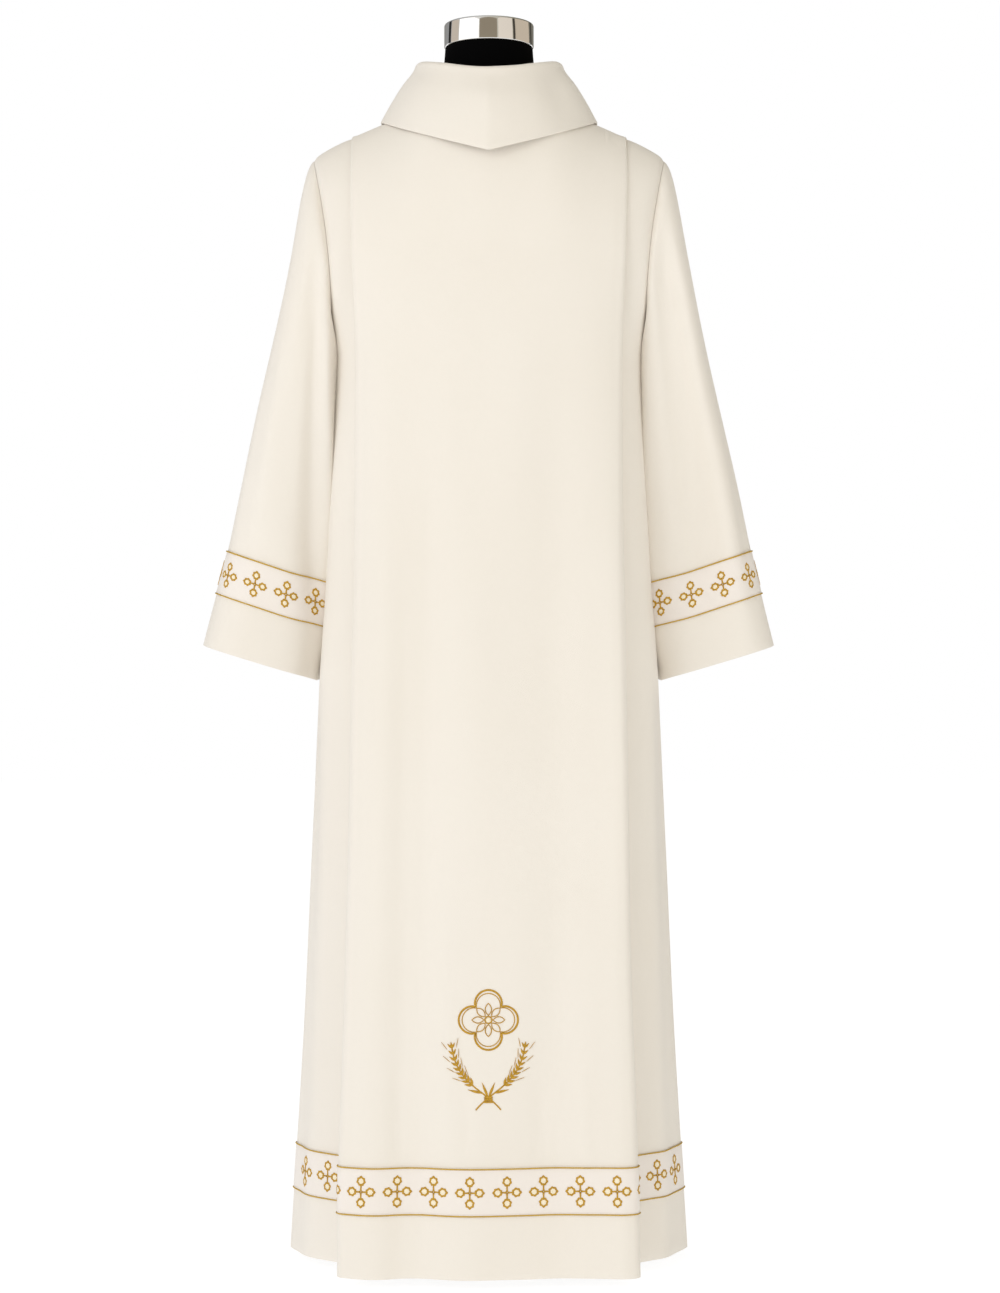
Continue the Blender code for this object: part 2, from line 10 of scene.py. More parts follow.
import bpy
import numpy as np
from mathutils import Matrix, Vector


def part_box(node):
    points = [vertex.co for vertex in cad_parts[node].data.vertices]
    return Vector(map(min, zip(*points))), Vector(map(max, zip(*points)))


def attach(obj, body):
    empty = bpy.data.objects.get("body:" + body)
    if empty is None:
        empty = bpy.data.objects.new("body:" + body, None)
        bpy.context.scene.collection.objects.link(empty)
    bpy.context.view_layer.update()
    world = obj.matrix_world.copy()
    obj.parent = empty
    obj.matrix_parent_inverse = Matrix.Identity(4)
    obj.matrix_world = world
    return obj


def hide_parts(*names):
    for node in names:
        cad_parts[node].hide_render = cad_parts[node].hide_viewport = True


bl_info = {
    "name": "Alb on a dress form",
    "version": (1, 0, 0),
    "blender": (4, 5, 0),
    "location": "View3D > Sidebar > Alb",
    "description": "Makes the cloth, bands and embroidery of an alb around its packed solids",
    "category": "Object",
}

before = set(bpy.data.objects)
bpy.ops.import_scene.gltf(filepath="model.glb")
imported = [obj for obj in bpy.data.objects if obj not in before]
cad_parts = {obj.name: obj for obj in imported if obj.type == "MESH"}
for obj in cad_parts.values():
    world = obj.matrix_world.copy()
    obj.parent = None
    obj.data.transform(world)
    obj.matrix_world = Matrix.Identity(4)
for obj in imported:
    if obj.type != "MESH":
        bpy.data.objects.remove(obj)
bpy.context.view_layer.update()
MATERIALS = {}

# The gap between two seams that meet, and small values for rounding and dividing
SEAM_GAP = 0.0003
HALF_MILLIMETRE = 0.0005
TINY = 0.000001
NEAR_ZERO = 1e-12


def rows_of(kind, *rows):
    """A table whose rows have the names of this kind."""
    return tuple(kind(*row) for row in rows)


# The alb's body, as the solids have it apart from its shoulders
HEM_HEIGHT = 0.012
BAND_LOW = 0.088
BAND_HIGH = 0.144
UNDERARM_HEIGHT = 1.140
UNDERARM_X = 0.1972
SHOULDER_TIP_HEIGHT = 1.3922
SHOULDER_TIP_X = 0.2222
NECK_POINT_X = 0.098
ARMHOLE_DEPTH = 0.075
ARMHOLE_BOW = 0.0092
ARMHOLE_MID = (UNDERARM_HEIGHT + SHOULDER_TIP_HEIGHT) / 2
ARMHOLE_HALF = (SHOULDER_TIP_HEIGHT - UNDERARM_HEIGHT) / 2
PLEAT_DEPTH = 0.028
PLEAT_STRAIGHT = 0.006
FOLD_RADIUS = 0.006
TIGHT_FOLD_RADIUS = 0.0006
TIGHT_FOLD_SHARE = 1 / 8
PLEAT_ROUND_STEP = math.radians(30)

BodySection = namedtuple("BodySection", "height half_width depth pleat_x lift squareness")
BODY_SECTIONS = rows_of(
    BodySection,
    (0.012, 0.2530, 0.1800, 0.1840, 0.060, 2.30),
    (0.300, 0.2355, 0.1660, 0.1775, 0.046, 2.34),
    (0.520, 0.2255, 0.1560, 0.1720, 0.034, 2.40),
    (0.720, 0.2155, 0.1475, 0.1685, 0.024, 2.45),
    (0.850, 0.2055, 0.1420, 0.1665, 0.018, 2.48),
    (0.980, 0.1990, 0.1365, 0.1655, 0.013, 2.50),
    (1.140, 0.1965, 0.1280, 0.1660, 0.009, 2.60),
    (1.268, 0.2120, 0.1190, 0.1700, 0.006, 2.95),
)

ShoulderPoint = namedtuple("ShoulderPoint", "x height")
SHOULDER_LINE = rows_of(
    ShoulderPoint,
    (0.0980, 1.4450),
    (0.1120, 1.4408),
    (0.1310, 1.4332),
    (0.1460, 1.4282),
    (0.1630, 1.4217),
    (0.1730, 1.4178),
    (0.1800, 1.4158),
    (0.1940, 1.4092),
    (0.2096, 1.4008),
    (0.2222, 1.3922),
)
# At the shoulder the pleat runs out: its layers lie closer there, and its inner ones sink
SHOULDER_PLEAT_X = 0.173
SHOULDER_LIFT = 0.006
PLEAT_TOP_LIFT = 0.0020
PLEAT_SINK = 0.0026
PLEAT_SINKS = (0, 0, 0, 0, 0.4, 1, 1, 1, 1, 1, 0)
SHOULDER_ROUND_MIDDLE = 2.4
SHOULDER_ROUND_SIDE = 2.0

Neckline = namedtuple("Neckline", "depth middle_height side_height")
NECKLINES = {
    -1: Neckline(0.088, 1.4280, 1.4450),
    +1: Neckline(0.096, 1.3900, 1.4450),
}
# The neckline's points, then half a panel's columns as shares of the pleat's x, then the side's
NECK_ANGLES = (0, 14, 28, 43, 62, 90)
NECK_POINT_SHARE = 0.566
NECK_SHARES = tuple(NECK_POINT_SHARE * math.sin(math.radians(a)) for a in NECK_ANGLES)
PANEL_SHARES = NECK_SHARES + (0.665, 0.765, 0.865)
SIDE_SHARES = (0.2, 0.42, 0.64, 0.84, 1.0)
# The skirt's sides run straighter to their seams than the solids' ovals
SIDE_STRAIGHT = 0.62
SIDE_STRAIGHT_TOP = 0.95
SIDE_STRAIGHT_GROWTH = 0.50
# The solids' own rows: heights up to the armhole, then angles up round it
LOWER_HEIGHTS = (HEM_HEIGHT, BAND_LOW, BAND_HIGH, 0.300, 0.500, 0.700, 0.860, 1.000, 1.080)
ARMHOLE_ANGLES = (180, 162, 144, 126, 108, 90, 72, 54, 36, 18, 0)

# Soft folds of the middle panels: the first ten are close to the solids' own, the rest are finer.
# One that ends at -1 runs down to the hem
Fold = namedtuple("Fold", "face hem_x top_x half_width height starts ends")
PANEL_FOLDS = rows_of(
    Fold,
    (-1, -0.146, -0.128, 0.027, 0.0066, 1.26, -1),
    (-1, -0.086, -0.068, 0.022, -0.0050, 1.20, -1),
    (-1, -0.024, -0.016, 0.042, 0.0040, 1.12, -1),
    (-1, 0.082, 0.084, 0.034, -0.0060, 1.24, -1),
    (-1, 0.167, 0.160, 0.022, 0.0056, 1.22, -1),
    (+1, -0.140, -0.128, 0.026, 0.0040, 1.20, -1),
    (+1, -0.070, -0.060, 0.034, -0.0060, 1.22, -1),
    (+1, 0.022, 0.012, 0.040, 0.0040, 1.10, -1),
    (+1, 0.090, 0.072, 0.024, -0.0050, 1.18, -1),
    (+1, 0.128, 0.110, 0.030, 0.0050, 1.24, -1),
    (-1, -0.112, -0.110, 0.006, -0.0012, 0.30, 0.150),
    (-1, -0.024, -0.027, 0.007, -0.0014, 0.26, 0.150),
    (-1, 0.060, 0.064, 0.007, -0.0012, 0.29, 0.150),
    (-1, 0.121, 0.117, 0.006, 0.0010, 0.33, 0.150),
    (-1, -0.052, -0.046, 0.012, 0.0012, 0.60, 0.150),
    (-1, -0.108, -0.102, 0.012, -0.0022, 1.05, -1),
    (+1, -0.104, -0.101, 0.006, -0.0012, 0.27, 0.150),
    (+1, 0.048, 0.052, 0.007, -0.0014, 0.31, 0.150),
    (+1, 0.132, 0.128, 0.006, 0.0010, 0.25, 0.150),
)
# Over what height a fold grows, and how close to its lower end a fine one is still held flat
FOLD_GROWTH = 0.40
FINE_FOLD_GROWTH = 0.6
FOLD_PINNED = 0.02
# The yoke is evened out where the solids have a ridge down from the neck point
YOKE_PASSES = 40
YOKE_FREE = 0.045
YOKE_LOW = 1.22
YOKE_GROWTH = 0.08
# So are the skirt's sides between the pleat, whose share is 0, and the seam, whose share is 1
SIDE_PASSES = 16
SIDE_EVEN_EDGE = 0.10
SIDE_EVEN_GROWTH = 0.20
# The middle panels lie flatter than the solids' ovals: their edges stand out this much more
PANEL_FLAT = 0.013
PANEL_FLAT_POWER = 2.5
PANEL_FLAT_MOST = 1.1
PANEL_EDGE_X = 0.168
PANEL_FLAT_TOP = 1.36
PANEL_FLAT_GROWTH = 0.30

# The sleeve's rings from the armhole down, from the fourth on as the solids have them
SleeveRing = namedtuple("SleeveRing", "over_x over_z under_x under_z depth middle_y bow")
SLEEVE_RINGS = rows_of(
    SleeveRing,
    (0.2222, 1.3922, 0.1972, 1.1400, 0.075, 0.000, 0.0092),
    (0.2306, 1.3745, 0.1985, 1.1270, 0.077, 0.001, 0.0070),
    (0.2384, 1.3400, 0.1992, 1.1060, 0.078, 0.003, 0.0034),
    (0.2515, 1.2650, 0.2000, 1.0700, 0.077, 0.006, 0.000),
    (0.2730, 1.1630, 0.2008, 1.0180, 0.075, 0.011, 0.000),
    (0.2965, 1.0620, 0.2022, 0.9600, 0.073, 0.017, 0.000),
    (0.3200, 0.9600, 0.2050, 0.9000, 0.071, 0.023, 0.000),
    (0.3340, 0.8954, 0.2078, 0.8525, 0.069, 0.027, 0.000),
    (0.3475, 0.8419, 0.2118, 0.7965, 0.070, 0.031, 0.000),
    (0.3645, 0.7760, 0.2185, 0.7315, 0.072, 0.035, 0.000),
)
CUFF_BAND_RINGS = (7, 8)
SLEEVE_SQUARENESS = 3.0
SLEEVE_SQUARE_RINGS = 4.0
# How far the sleeves lean to the body, and how much further their inner corners lie, down the rings
SLEEVE_LEAN = 0.0028
SLEEVE_LEAN_RINGS = 2.0
SLEEVE_LEAN_ANGLE = 100
SLEEVE_LEAN_GROWTH = 60
CUFF_LEAN = 2.2
CUFF_LEAN_RING = 8.0
CORNER_LEAN = 0.0082
CORNER_RINGS = 1.3
CORNER_END_RINGS = 2
CORNER_ANGLE = 95
CORNER_GROWTH = 45
CORNER_SEAM_ANGLE = 17
# Soft folds down the sleeves: angles are in degrees from the overarm, and starts is in rings
SLEEVE_FOLD_GROWTH = 2.5
SLEEVE_FOLD_FADE = 0.65
SLEEVE_FADE_RING = 6.3
SLEEVE_FADE_RINGS = 2
SleeveFold = namedtuple("SleeveFold", "hand face top_angle cuff_angle half_angle height starts")
SLEEVE_FOLDS = rows_of(
    SleeveFold,
    (-1, -1, 83, 138, 14, -0.0094, 0.5),
    (-1, -1, 110, 166, 13, 0.0058, 0.2),
    (-1, -1, 8, 118, 15, 0.0030, 2.8),
    (-1, -1, 30, 62, 15, -0.0018, 3.0),
    (+1, -1, 50, 74, 22, 0.0046, 0.2),
    (+1, -1, 84, 92, 18, -0.0115, 0.3),
    (+1, -1, 138, 158, 20, 0.0060, 0.3),
    (+1, -1, 4, 48, 14, -0.0020, 3.2),
    (0, +1, 88, 118, 22, -0.0055, 1.0),
    (0, +1, 58, 76, 26, 0.0030, 1.0),
    (-1, +1, 34, 40, 12, -0.0016, 3.0),
    (+1, +1, 108, 144, 10, 0.0014, 1.6),
)

# The collar's fold and the edge of its fall, at its side, back and front
CollarRing = namedtuple("CollarRing", "side back front")
COLLAR_TOP_RADIUS = CollarRing(0.0931, 0.0945, 0.1010)
COLLAR_TOP_HEIGHT = CollarRing(1.5115, 1.4898, 1.4650)
COLLAR_EDGE_RADIUS = CollarRing(0.1337, 0.1180, 0.1380)
COLLAR_EDGE_HEIGHT = CollarRing(1.4390, 1.3822, 1.3480)
COLLAR_EDGE_CURVE = 0.68
COLLAR_CLOTH = 0.0025
COLLAR_FOLD = 0.0075
COLLAR_FALL_SHARES = (1.0, 0.67, 0.33)
COLLAR_FOLD_ANGLES = (0, 45, 90, 135, 180)
COLLAR_FALL_BULGE = 0.003
COLLAR_COLUMNS = 180
COLLAR_RIDGE = 0.0095
COLLAR_RIDGE_ANGLE = math.radians(18)
COLLAR_RIDGE_FALL = 0.22
# Dents and swells of the collar's fall: the angle runs from the middle back to the right
CollarDent = namedtuple("CollarDent", "angle fall half_angle half_fall height")
COLLAR_DENTS = rows_of(
    CollarDent,
    (48, 0.50, 13, 0.40, -0.0034),
    (66, 0.35, 12, 0.35, 0.0016),
    (-88, 1.00, 14, 0.28, 0.0012),
    (-42, 0.55, 20, 0.45, 0.0014),
    (150, 0.55, 18, 0.40, -0.0028),
    (-132, 0.60, 16, 0.40, -0.0024),
    (96, 1.00, 12, 0.25, 0.0020),
)

# Soft folds of the skirt's sides: a share is 0 at the pleat and 1 at the seam, signed as x is
SideFold = namedtuple("SideFold", "face hem_share top_share half_share height starts")
SIDE_FOLDS = rows_of(
    SideFold,
    (-1, -0.42, -0.50, 0.20, 0.0024, 1.02),
    (-1, -0.50, -0.60, 0.34, 0.0050, 1.34),
    (-1, 0.50, 0.60, 0.34, 0.0050, 1.34),
    (-1, -0.70, -0.74, 0.16, -0.0010, 0.90),
    (-1, 0.36, 0.46, 0.15, 0.0040, 1.00),
    (-1, 0.66, 0.70, 0.16, -0.0014, 0.94),
    (+1, -0.38, -0.46, 0.14, 0.0040, 0.96),
    (+1, -0.64, -0.70, 0.13, -0.0036, 1.04),
    (+1, 0.44, 0.50, 0.16, 0.0044, 1.00),
    (+1, 0.74, 0.76, 0.12, -0.0032, 0.88),
)
SIDE_FOLD_GROWTH = 0.45
SIDE_FOLD_EDGE = 0.15

# How fine the cloth is made
PANEL_SPACING = 0.0075
ROW_SPACING = 0.0115
ARMHOLE_ROWS = 4
PLEAT_POINTS = 11
PLEAT_STEPS = 3
SLEEVE_COLUMNS = 104
COLLAR_SPACING = 0.0055
COLLAR_LEAST_STEPS = 3
EDGE_TURNS = tuple(math.radians(a) for a in (30, 90, 150))

# Small swells all over the cloth, each piece with a seed of its own
BODY_SEED = 5
SLEEVE_SEED = 11
COLLAR_SEED = 23
RIPPLE = 0.00055
COLLAR_RIPPLE = 0.00030
RIPPLE_WAVES = 12
RIPPLE_WIDTHS = (0.045, 0.160)
RIPPLE_HEIGHTS = (0.25, 0.90)

# How the cloth dips at its seams, and at the armhole, where it is also drawn in
SEAM_DIP = 0.0009
SEAM_WIDTH = 0.0035
SEAM_FREE = 0.030
SEAM_STEPS = 3
SHOULDER_SEAM_EDGE = 0.004
ARMHOLE_DIP = 0.0024
ARMHOLE_WIDTH = 0.0030
ARMHOLE_PINCH = 0.0050
ARMHOLE_PINCH_WIDTH = 0.0085
ARMHOLE_PINCH_HEIGHT = 1.312
ARMHOLE_PINCH_TALL = 0.050

# Bands and embroidery
BAND_RISE = 0.0010
BAND_CLOTH = 0.0007
BAND_MARGIN_ROWS = 2
# The section of a stitched line, and the rings of a dome: shares of its size and its height
RIDGE = (
    (-0.5, -0.25), (-0.46, 0.35), (-0.25, 0.85), (0.0, 1.0),
    (0.25, 0.85), (0.46, 0.35), (0.5, -0.25),
)
DOME_RINGS = ((1.0, -0.3), (0.96, 0.45), (0.68, 0.85), (0.36, 1.0))
DOME_SIDES = 14
# The twisted cord along both edges of a band
CORD_RADIUS = 0.00080
CORD_PITCH = 0.0052
CORD_PLY = 0.12
CORD_STEP = 0.0009
CORD_SIDES = 8
CORD_HEIGHT = 0.75
CORD_FLAT = 0.85
CORD_END = 0.0004
# The bands' small crosses and their places
CROSS_HALF_WIDTH = 0.0178
CROSS_HALF_HEIGHT = 0.0192
CROSS_FIRST = 0.0226
CROSS_MOST = 60
CROSS_KEEP = 0.020
# The crosses of the back's left side lie this much nearer the middle than an even row has them
CROSS_SLIP = 0.0085
CROSS_SLIP_FROM = 0.22
CUFF_CROSS_START = {-1: 0.64, 1: 0.36}
CUFF_CROSS_SIZE = 0.88
# A cross's arms, the scalloped buds at their ends and the knot in its middle
ARM_WIDTH = 0.0021
ARM_WIDTHS = ARM_WIDTH * np.array((1.3, 1.0, 0.9, 1.0, 1.5))
ARM_FOOT = 0.0016
ARM_RISE = 0.0010
BUD_RADIUS = 0.0056
BUD_LINE = 0.0025
BUD_TIP = 0.0007
BUD_TIP_TURN = 0.28
BUD_SCALLOP = 0.10
BUD_SCALLOPS = 7
BUD_LINE_SCALLOP = 0.18
BUD_STEPS = 28
BUD_RISE = 0.0008
BUD_REACH = 0.7
BUD_FILL = 0.8
BUD_FILL_RISE = 0.0004
KNOT_RADIUS = 0.0012
KNOT_LINE = 0.0012
KNOT_POINTS = 8

# Embroidery above the back's hem: a quatrefoil with a rosette over two crossed ears of wheat
EMBLEM_PIECES = ("gold_emblem", "pale_emblem")
EMBLEM_HEIGHT = 0.287
EMBLEM_LINE = 0.0026
STALK_LINE = 0.75
EMBLEM_FINE_LINE = 0.0013
EMBLEM_RISE = 0.0009
FOIL_MIDDLE = (0.0, 0.034)
FOIL_REACH = 0.0195
FOIL_RADIUS = 0.0165
FOIL_INNER_REACH = FOIL_REACH - 0.0022
FOIL_INNER_RADIUS = 0.0146
FOIL_STEPS = 22
PETALS = 8
PETAL = (0.0056, 0.0200, 0.0038)
PETAL_STEPS = 9
PETAL_POWER = 0.8
ROSETTE_EYE = 0.0042
EYE_SHARE = 0.7
EYE_POINTS = 24
STALK = ((-0.015, -0.074), (0.004, -0.050), (0.037, -0.044), (0.0440, 0.000))
STALK_STEPS = 30
EAR_FROM = 0.50
EAR_GRAINS = 9
LEAF_STEPS = 8
LEAF_POWER = 0.8
LEAF_LEAST = 0.0004
GRAIN_LENGTH = 0.0098
GRAIN_WIDTH = 0.0036
GRAIN_SPREAD = math.radians(36)
GRAIN_SHRINK = 0.25
TOP_GRAIN = 0.8
AWN_LENGTH = 0.0110
AWN_WIDTH = 0.0009
AWN_SPREAD = 0.7
BLADES = ((0.26, 0.50, 0.020), (0.34, -0.42, 0.018))
BLADE_WIDTH = 0.0034
TIE_HEIGHTS = (-0.0645, -0.0618, -0.0591)
TIE_HALF_WIDTH = 0.0050
TIE_POINTS = 8
TIE_RISE = 0.00126
FLAT_RISE = 0.00072

# Dress form
ROUND_SIDES = 96
ROUND_SEGMENTS = 4
CAP_ROUND = 0.0025
# How the cap's top is shaped, ring by ring: how far in, how far up, and whether with a wall
CAP_STEPS = ((0.0045, -0.0004, False), (0.0015, -0.0006, False), (0.030, 0.0, False))
POLE_ROUND = 0.0006
POLE_SIDES = 48
BASE_THICKNESS = 0.008
BASE_ROUND = 0.002
HUB_RADIUS = 0.030
SOCKET_RADIUS = 0.0163
SOCKET_FLOOR = 0.012
DOUBLES = 0.00001
FORM_RIM_ANGLE = math.radians(50)
SHARP_ANGLE = math.radians(40)
RIGHT_ANGLE = math.radians(90)
KNIT_DARK = (0.0006, 0.0006, 0.0007)
CHROME = (0.82, 0.82, 0.82)
STEEL = (0.60, 0.60, 0.61)

# The two colour inputs of a mix node, and how far a wave texture of scale 1 turns in a metre
MIX_FIRST = 6
MIX_SECOND = 7
WAVE_PHASE = 20

# Woven cloth: how its tone clouds, and how much its slubs and weft count beside the twill
CLOUD_RANGE = (0.35, 0.65)
SLUB_SCALE = 0.12
SLUB_SHARE = 0.8
WEFT_SPACING = 0.8
WEFT_SHARE = 0.35
WEAVE_SHADE = (0.0, 1.8, 0.965, 1.0)
WEAVE_DEPTH = 0.4

# Embroidery threads, with the names of their two colours' settings, the strands' own tone and the
# painted shade between strands, and how wide a strand is
Thread = namedtuple("Thread", "colour dark roughness strand")
THREADS = {
    "gold_thread": Thread("gold", "gold_dark", 0.42, 0.00045),
    "cord_thread": Thread("cord", "cord_dark", 0.42, 0.00060),
    "pale_thread": Thread("pale_gold", "pale_gold_dark", 0.5, 0.00045),
}
PALE_METAL = 0.1
STRAND_RANGE = (0.25, 0.95)
STRAND_RELIEF = 0.5

# Polished metal, paint and knit
POLISH_LOW = 0.8
POLISH_HIGH = 1.25
METAL_SHADE = 0.93
METAL_DEPTH = 0.0002
KNIT_RELIEF = 0.4

# Studio
MOST_POWER = 1000.0
CAMERA_LENS = 74.5
CAMERA_SENSOR = 36.0
CAMERA_PLACE = (0.014, -3.4, 0.774)
Lamp = namedtuple("Lamp", "name size place")
LAMPS = rows_of(
    Lamp,
    ("key", 2.4, (-2.4, -2.6, 2.2)),
    ("fill", 2.2, (2.7, -2.3, 1.4)),
    ("top", 4.0, (0.0, 0.2, 4.5)),
)
LAMP_AIM = (0, 0, 0.8)
FLOOR_SIZE = 24.0
FLOOR_GLOW = 0.90
FLOOR_COLOURS = (0.20, 0.20, 0.20), (0.24, 0.24, 0.24)
# How bright the sky is towards both ends of an axis: from, to, and the factor at each
SKY_DEPTH = (-0.7, 0.5, 0.83, 0.30)
SKY_WIDTH = (-1.0, 1.0, 1.22, 0.50)
SKY_TINT = (-0.8, 0.8, 0.0, 1.0)
SKY_LEFT_COLOUR = (1.0, 1.0, 1.0)
SKY_RIGHT_COLOUR = (1.0, 0.92, 0.71)
# Cards that the cap reflects, from one angle to another, in degrees round it from the camera
Card = namedtuple("Card", "start end colour")
CARDS = rows_of(
    Card,
    (-126, -114, (0.01, 0.01, 0.01)),
    (-112, -84, (0.62, 0.54, 0.45)),
    (-82, -26, (1.50, 1.46, 1.40)),
    (-24, 21, (0.30, 0.25, 0.18)),
    (24, 63, (0.86, 0.77, 0.66)),
    (65, 71, (0.04, 0.03, 0.02)),
    (72, 125, (0.62, 0.52, 0.40)),
    (133, 141, (0.02, 0.015, 0.01)),
)
CARD_DISTANCE = 4.5
CARD_HEIGHT = 1.6
CARD_TALL = 4.0


def on_curve(t, low, slope_low, high, slope_high):
    """The value at t, from 0 to 1, on the smooth curve between two values with these slopes."""
    return (
        (2 * t**3 - 3 * t**2 + 1) * low
        + (t**3 - 2 * t**2 + t) * slope_low
        + (3 * t**2 - 2 * t**3) * high
        + (t**3 - t**2) * slope_high
    )


def smooth_row(table, key):
    """The table's row at this first-column value, on a smooth curve through all its columns."""
    last = len(table) - 1
    i = 0
    while i < last - 1 and key > table[i + 1][0]:
        i += 1
    low, high = table[i], table[i + 1]
    before, after = table[max(i - 1, 0)], table[min(i + 2, last)]
    span = high[0] - low[0]
    t = min(max((key - low[0]) / span, 0.0), 1.0)
    values = [key]
    for p0, p1, p2, p3 in zip(before[1:], low[1:], high[1:], after[1:]):
        slope_low = (p2 - p0) / (high[0] - before[0]) * span
        slope_high = (p3 - p1) / (after[0] - low[0]) * span
        values.append(on_curve(t, p1, slope_low, p2, slope_high))
    return type(low)(*values)


def unit(vectors):
    """The vectors, each made 1 long."""
    return vectors / np.maximum(np.linalg.norm(vectors, axis=-1, keepdims=True), NEAR_ZERO)


def ease(t):
    """0 below 0, 1 above 1, and a smooth step between them."""
    t = np.clip(t, 0.0, 1.0)
    return t * t * (3 - 2 * t)


def mix(a, b, t):
    """The value this share of the way from a to b."""
    return a + (b - a) * t


def oval_depth(section, x):
    """How far from the middle plane the lowest layer lies at this x."""
    depth = section.depth - section.lift
    share = min(abs(x) / section.half_width, 1.0)
    return depth * (1 - share**section.squareness) ** (1 / section.squareness)


def armhole_point(face, angle):
    """A point of the right armhole: angle 0 is the shoulder tip, 180 the underarm."""
    a = math.radians(angle)
    z = ARMHOLE_MID + ARMHOLE_HALF * math.cos(a)
    along = (z - UNDERARM_HEIGHT) / (2 * ARMHOLE_HALF)
    x = mix(UNDERARM_X, SHOULDER_TIP_X, along) - ARMHOLE_BOW * math.sin(a) ** 2
    return x - SEAM_GAP, face * ARMHOLE_DEPTH * math.sin(a), z


def pleat_columns(pleat_x, lift):
    """(x, rise above the lowest layer) of the folded stretch, from the panel to the side."""
    inner = min(max(lift * TIGHT_FOLD_SHARE, TIGHT_FOLD_RADIUS), FOLD_RADIUS)
    outer = min(lift / 2 - inner, FOLD_RADIUS)
    inside_x = pleat_x - PLEAT_DEPTH
    half, edge = math.sin(PLEAT_ROUND_STEP), math.cos(PLEAT_ROUND_STEP)
    return [
        (pleat_x - outer - PLEAT_STRAIGHT, lift),
        (pleat_x - outer * (1 - half), lift - outer * (1 - edge)),
        (pleat_x, lift - outer),
        (pleat_x - outer * (1 - half), lift - outer * (1 + edge)),
        (pleat_x - outer - PLEAT_STRAIGHT, lift - 2 * outer),
        (inside_x + inner + PLEAT_STRAIGHT, 2 * inner),
        (inside_x + inner * (1 - half), inner * (1 + edge)),
        (inside_x, inner),
        (inside_x + inner * (1 - half), inner * (1 - edge)),
        (inside_x + inner + PLEAT_STRAIGHT, 0.0),
        (pleat_x, 0.0),
    ]


def level_row(face, hand, z, angle):
    """Half a horizontal row, from the middle to the side seam; each point ends with its rise's share."""
    section = smooth_row(BODY_SECTIONS, z)
    across = [(share * section.pleat_x, section.lift) for share in PANEL_SHARES]
    across += pleat_columns(section.pleat_x, section.lift)
    points = []
    for x, rise in across:
        y = face * (oval_depth(section, x) + rise)
        points.append((hand * x, y, z, rise / section.lift))
    if angle is None:
        end_x, end_depth = section.half_width, SEAM_GAP / 2
    else:
        end_x, end_y, _ = armhole_point(face, angle)
        end_depth = max(abs(end_y), SEAM_GAP / 2)
    depth = section.depth - section.lift
    power = section.squareness
    start = math.asin((section.pleat_x / section.half_width) ** (power / 2))
    end = math.acos(min(end_depth / depth, 1.0) ** (power / 2))
    miss = end_x - section.half_width * math.sin(end) ** (2 / power)
    straight = SIDE_STRAIGHT * float(ease((SIDE_STRAIGHT_TOP - z) / SIDE_STRAIGHT_GROWTH))
    pleat_depth = oval_depth(section, section.pleat_x)
    for share in SIDE_SHARES:
        turn = mix(start, end, share)
        x = section.half_width * math.sin(turn) ** (2 / power) + miss * float(ease(share))
        y = depth * math.cos(turn) ** (2 / power) if share < 1 else end_depth
        x = mix(x, mix(section.pleat_x, end_x, share), straight)
        y = mix(y, mix(pleat_depth, end_depth, share), straight)
        points.append((hand * x, face * y, z, 0.0))
    return points


def top_point(face, x):
    """The depth and height of the panel's top edge, on the neckline or the shoulder seam."""
    if x < NECK_POINT_X:
        neck = NECKLINES[face]
        share = x / NECK_POINT_X
        depth = neck.depth * math.sqrt(1 - share**2)
        return max(depth, SEAM_GAP / 2), mix(neck.middle_height, neck.side_height, float(ease(share)))
    return SEAM_GAP / 2, smooth_row(SHOULDER_LINE, x).height


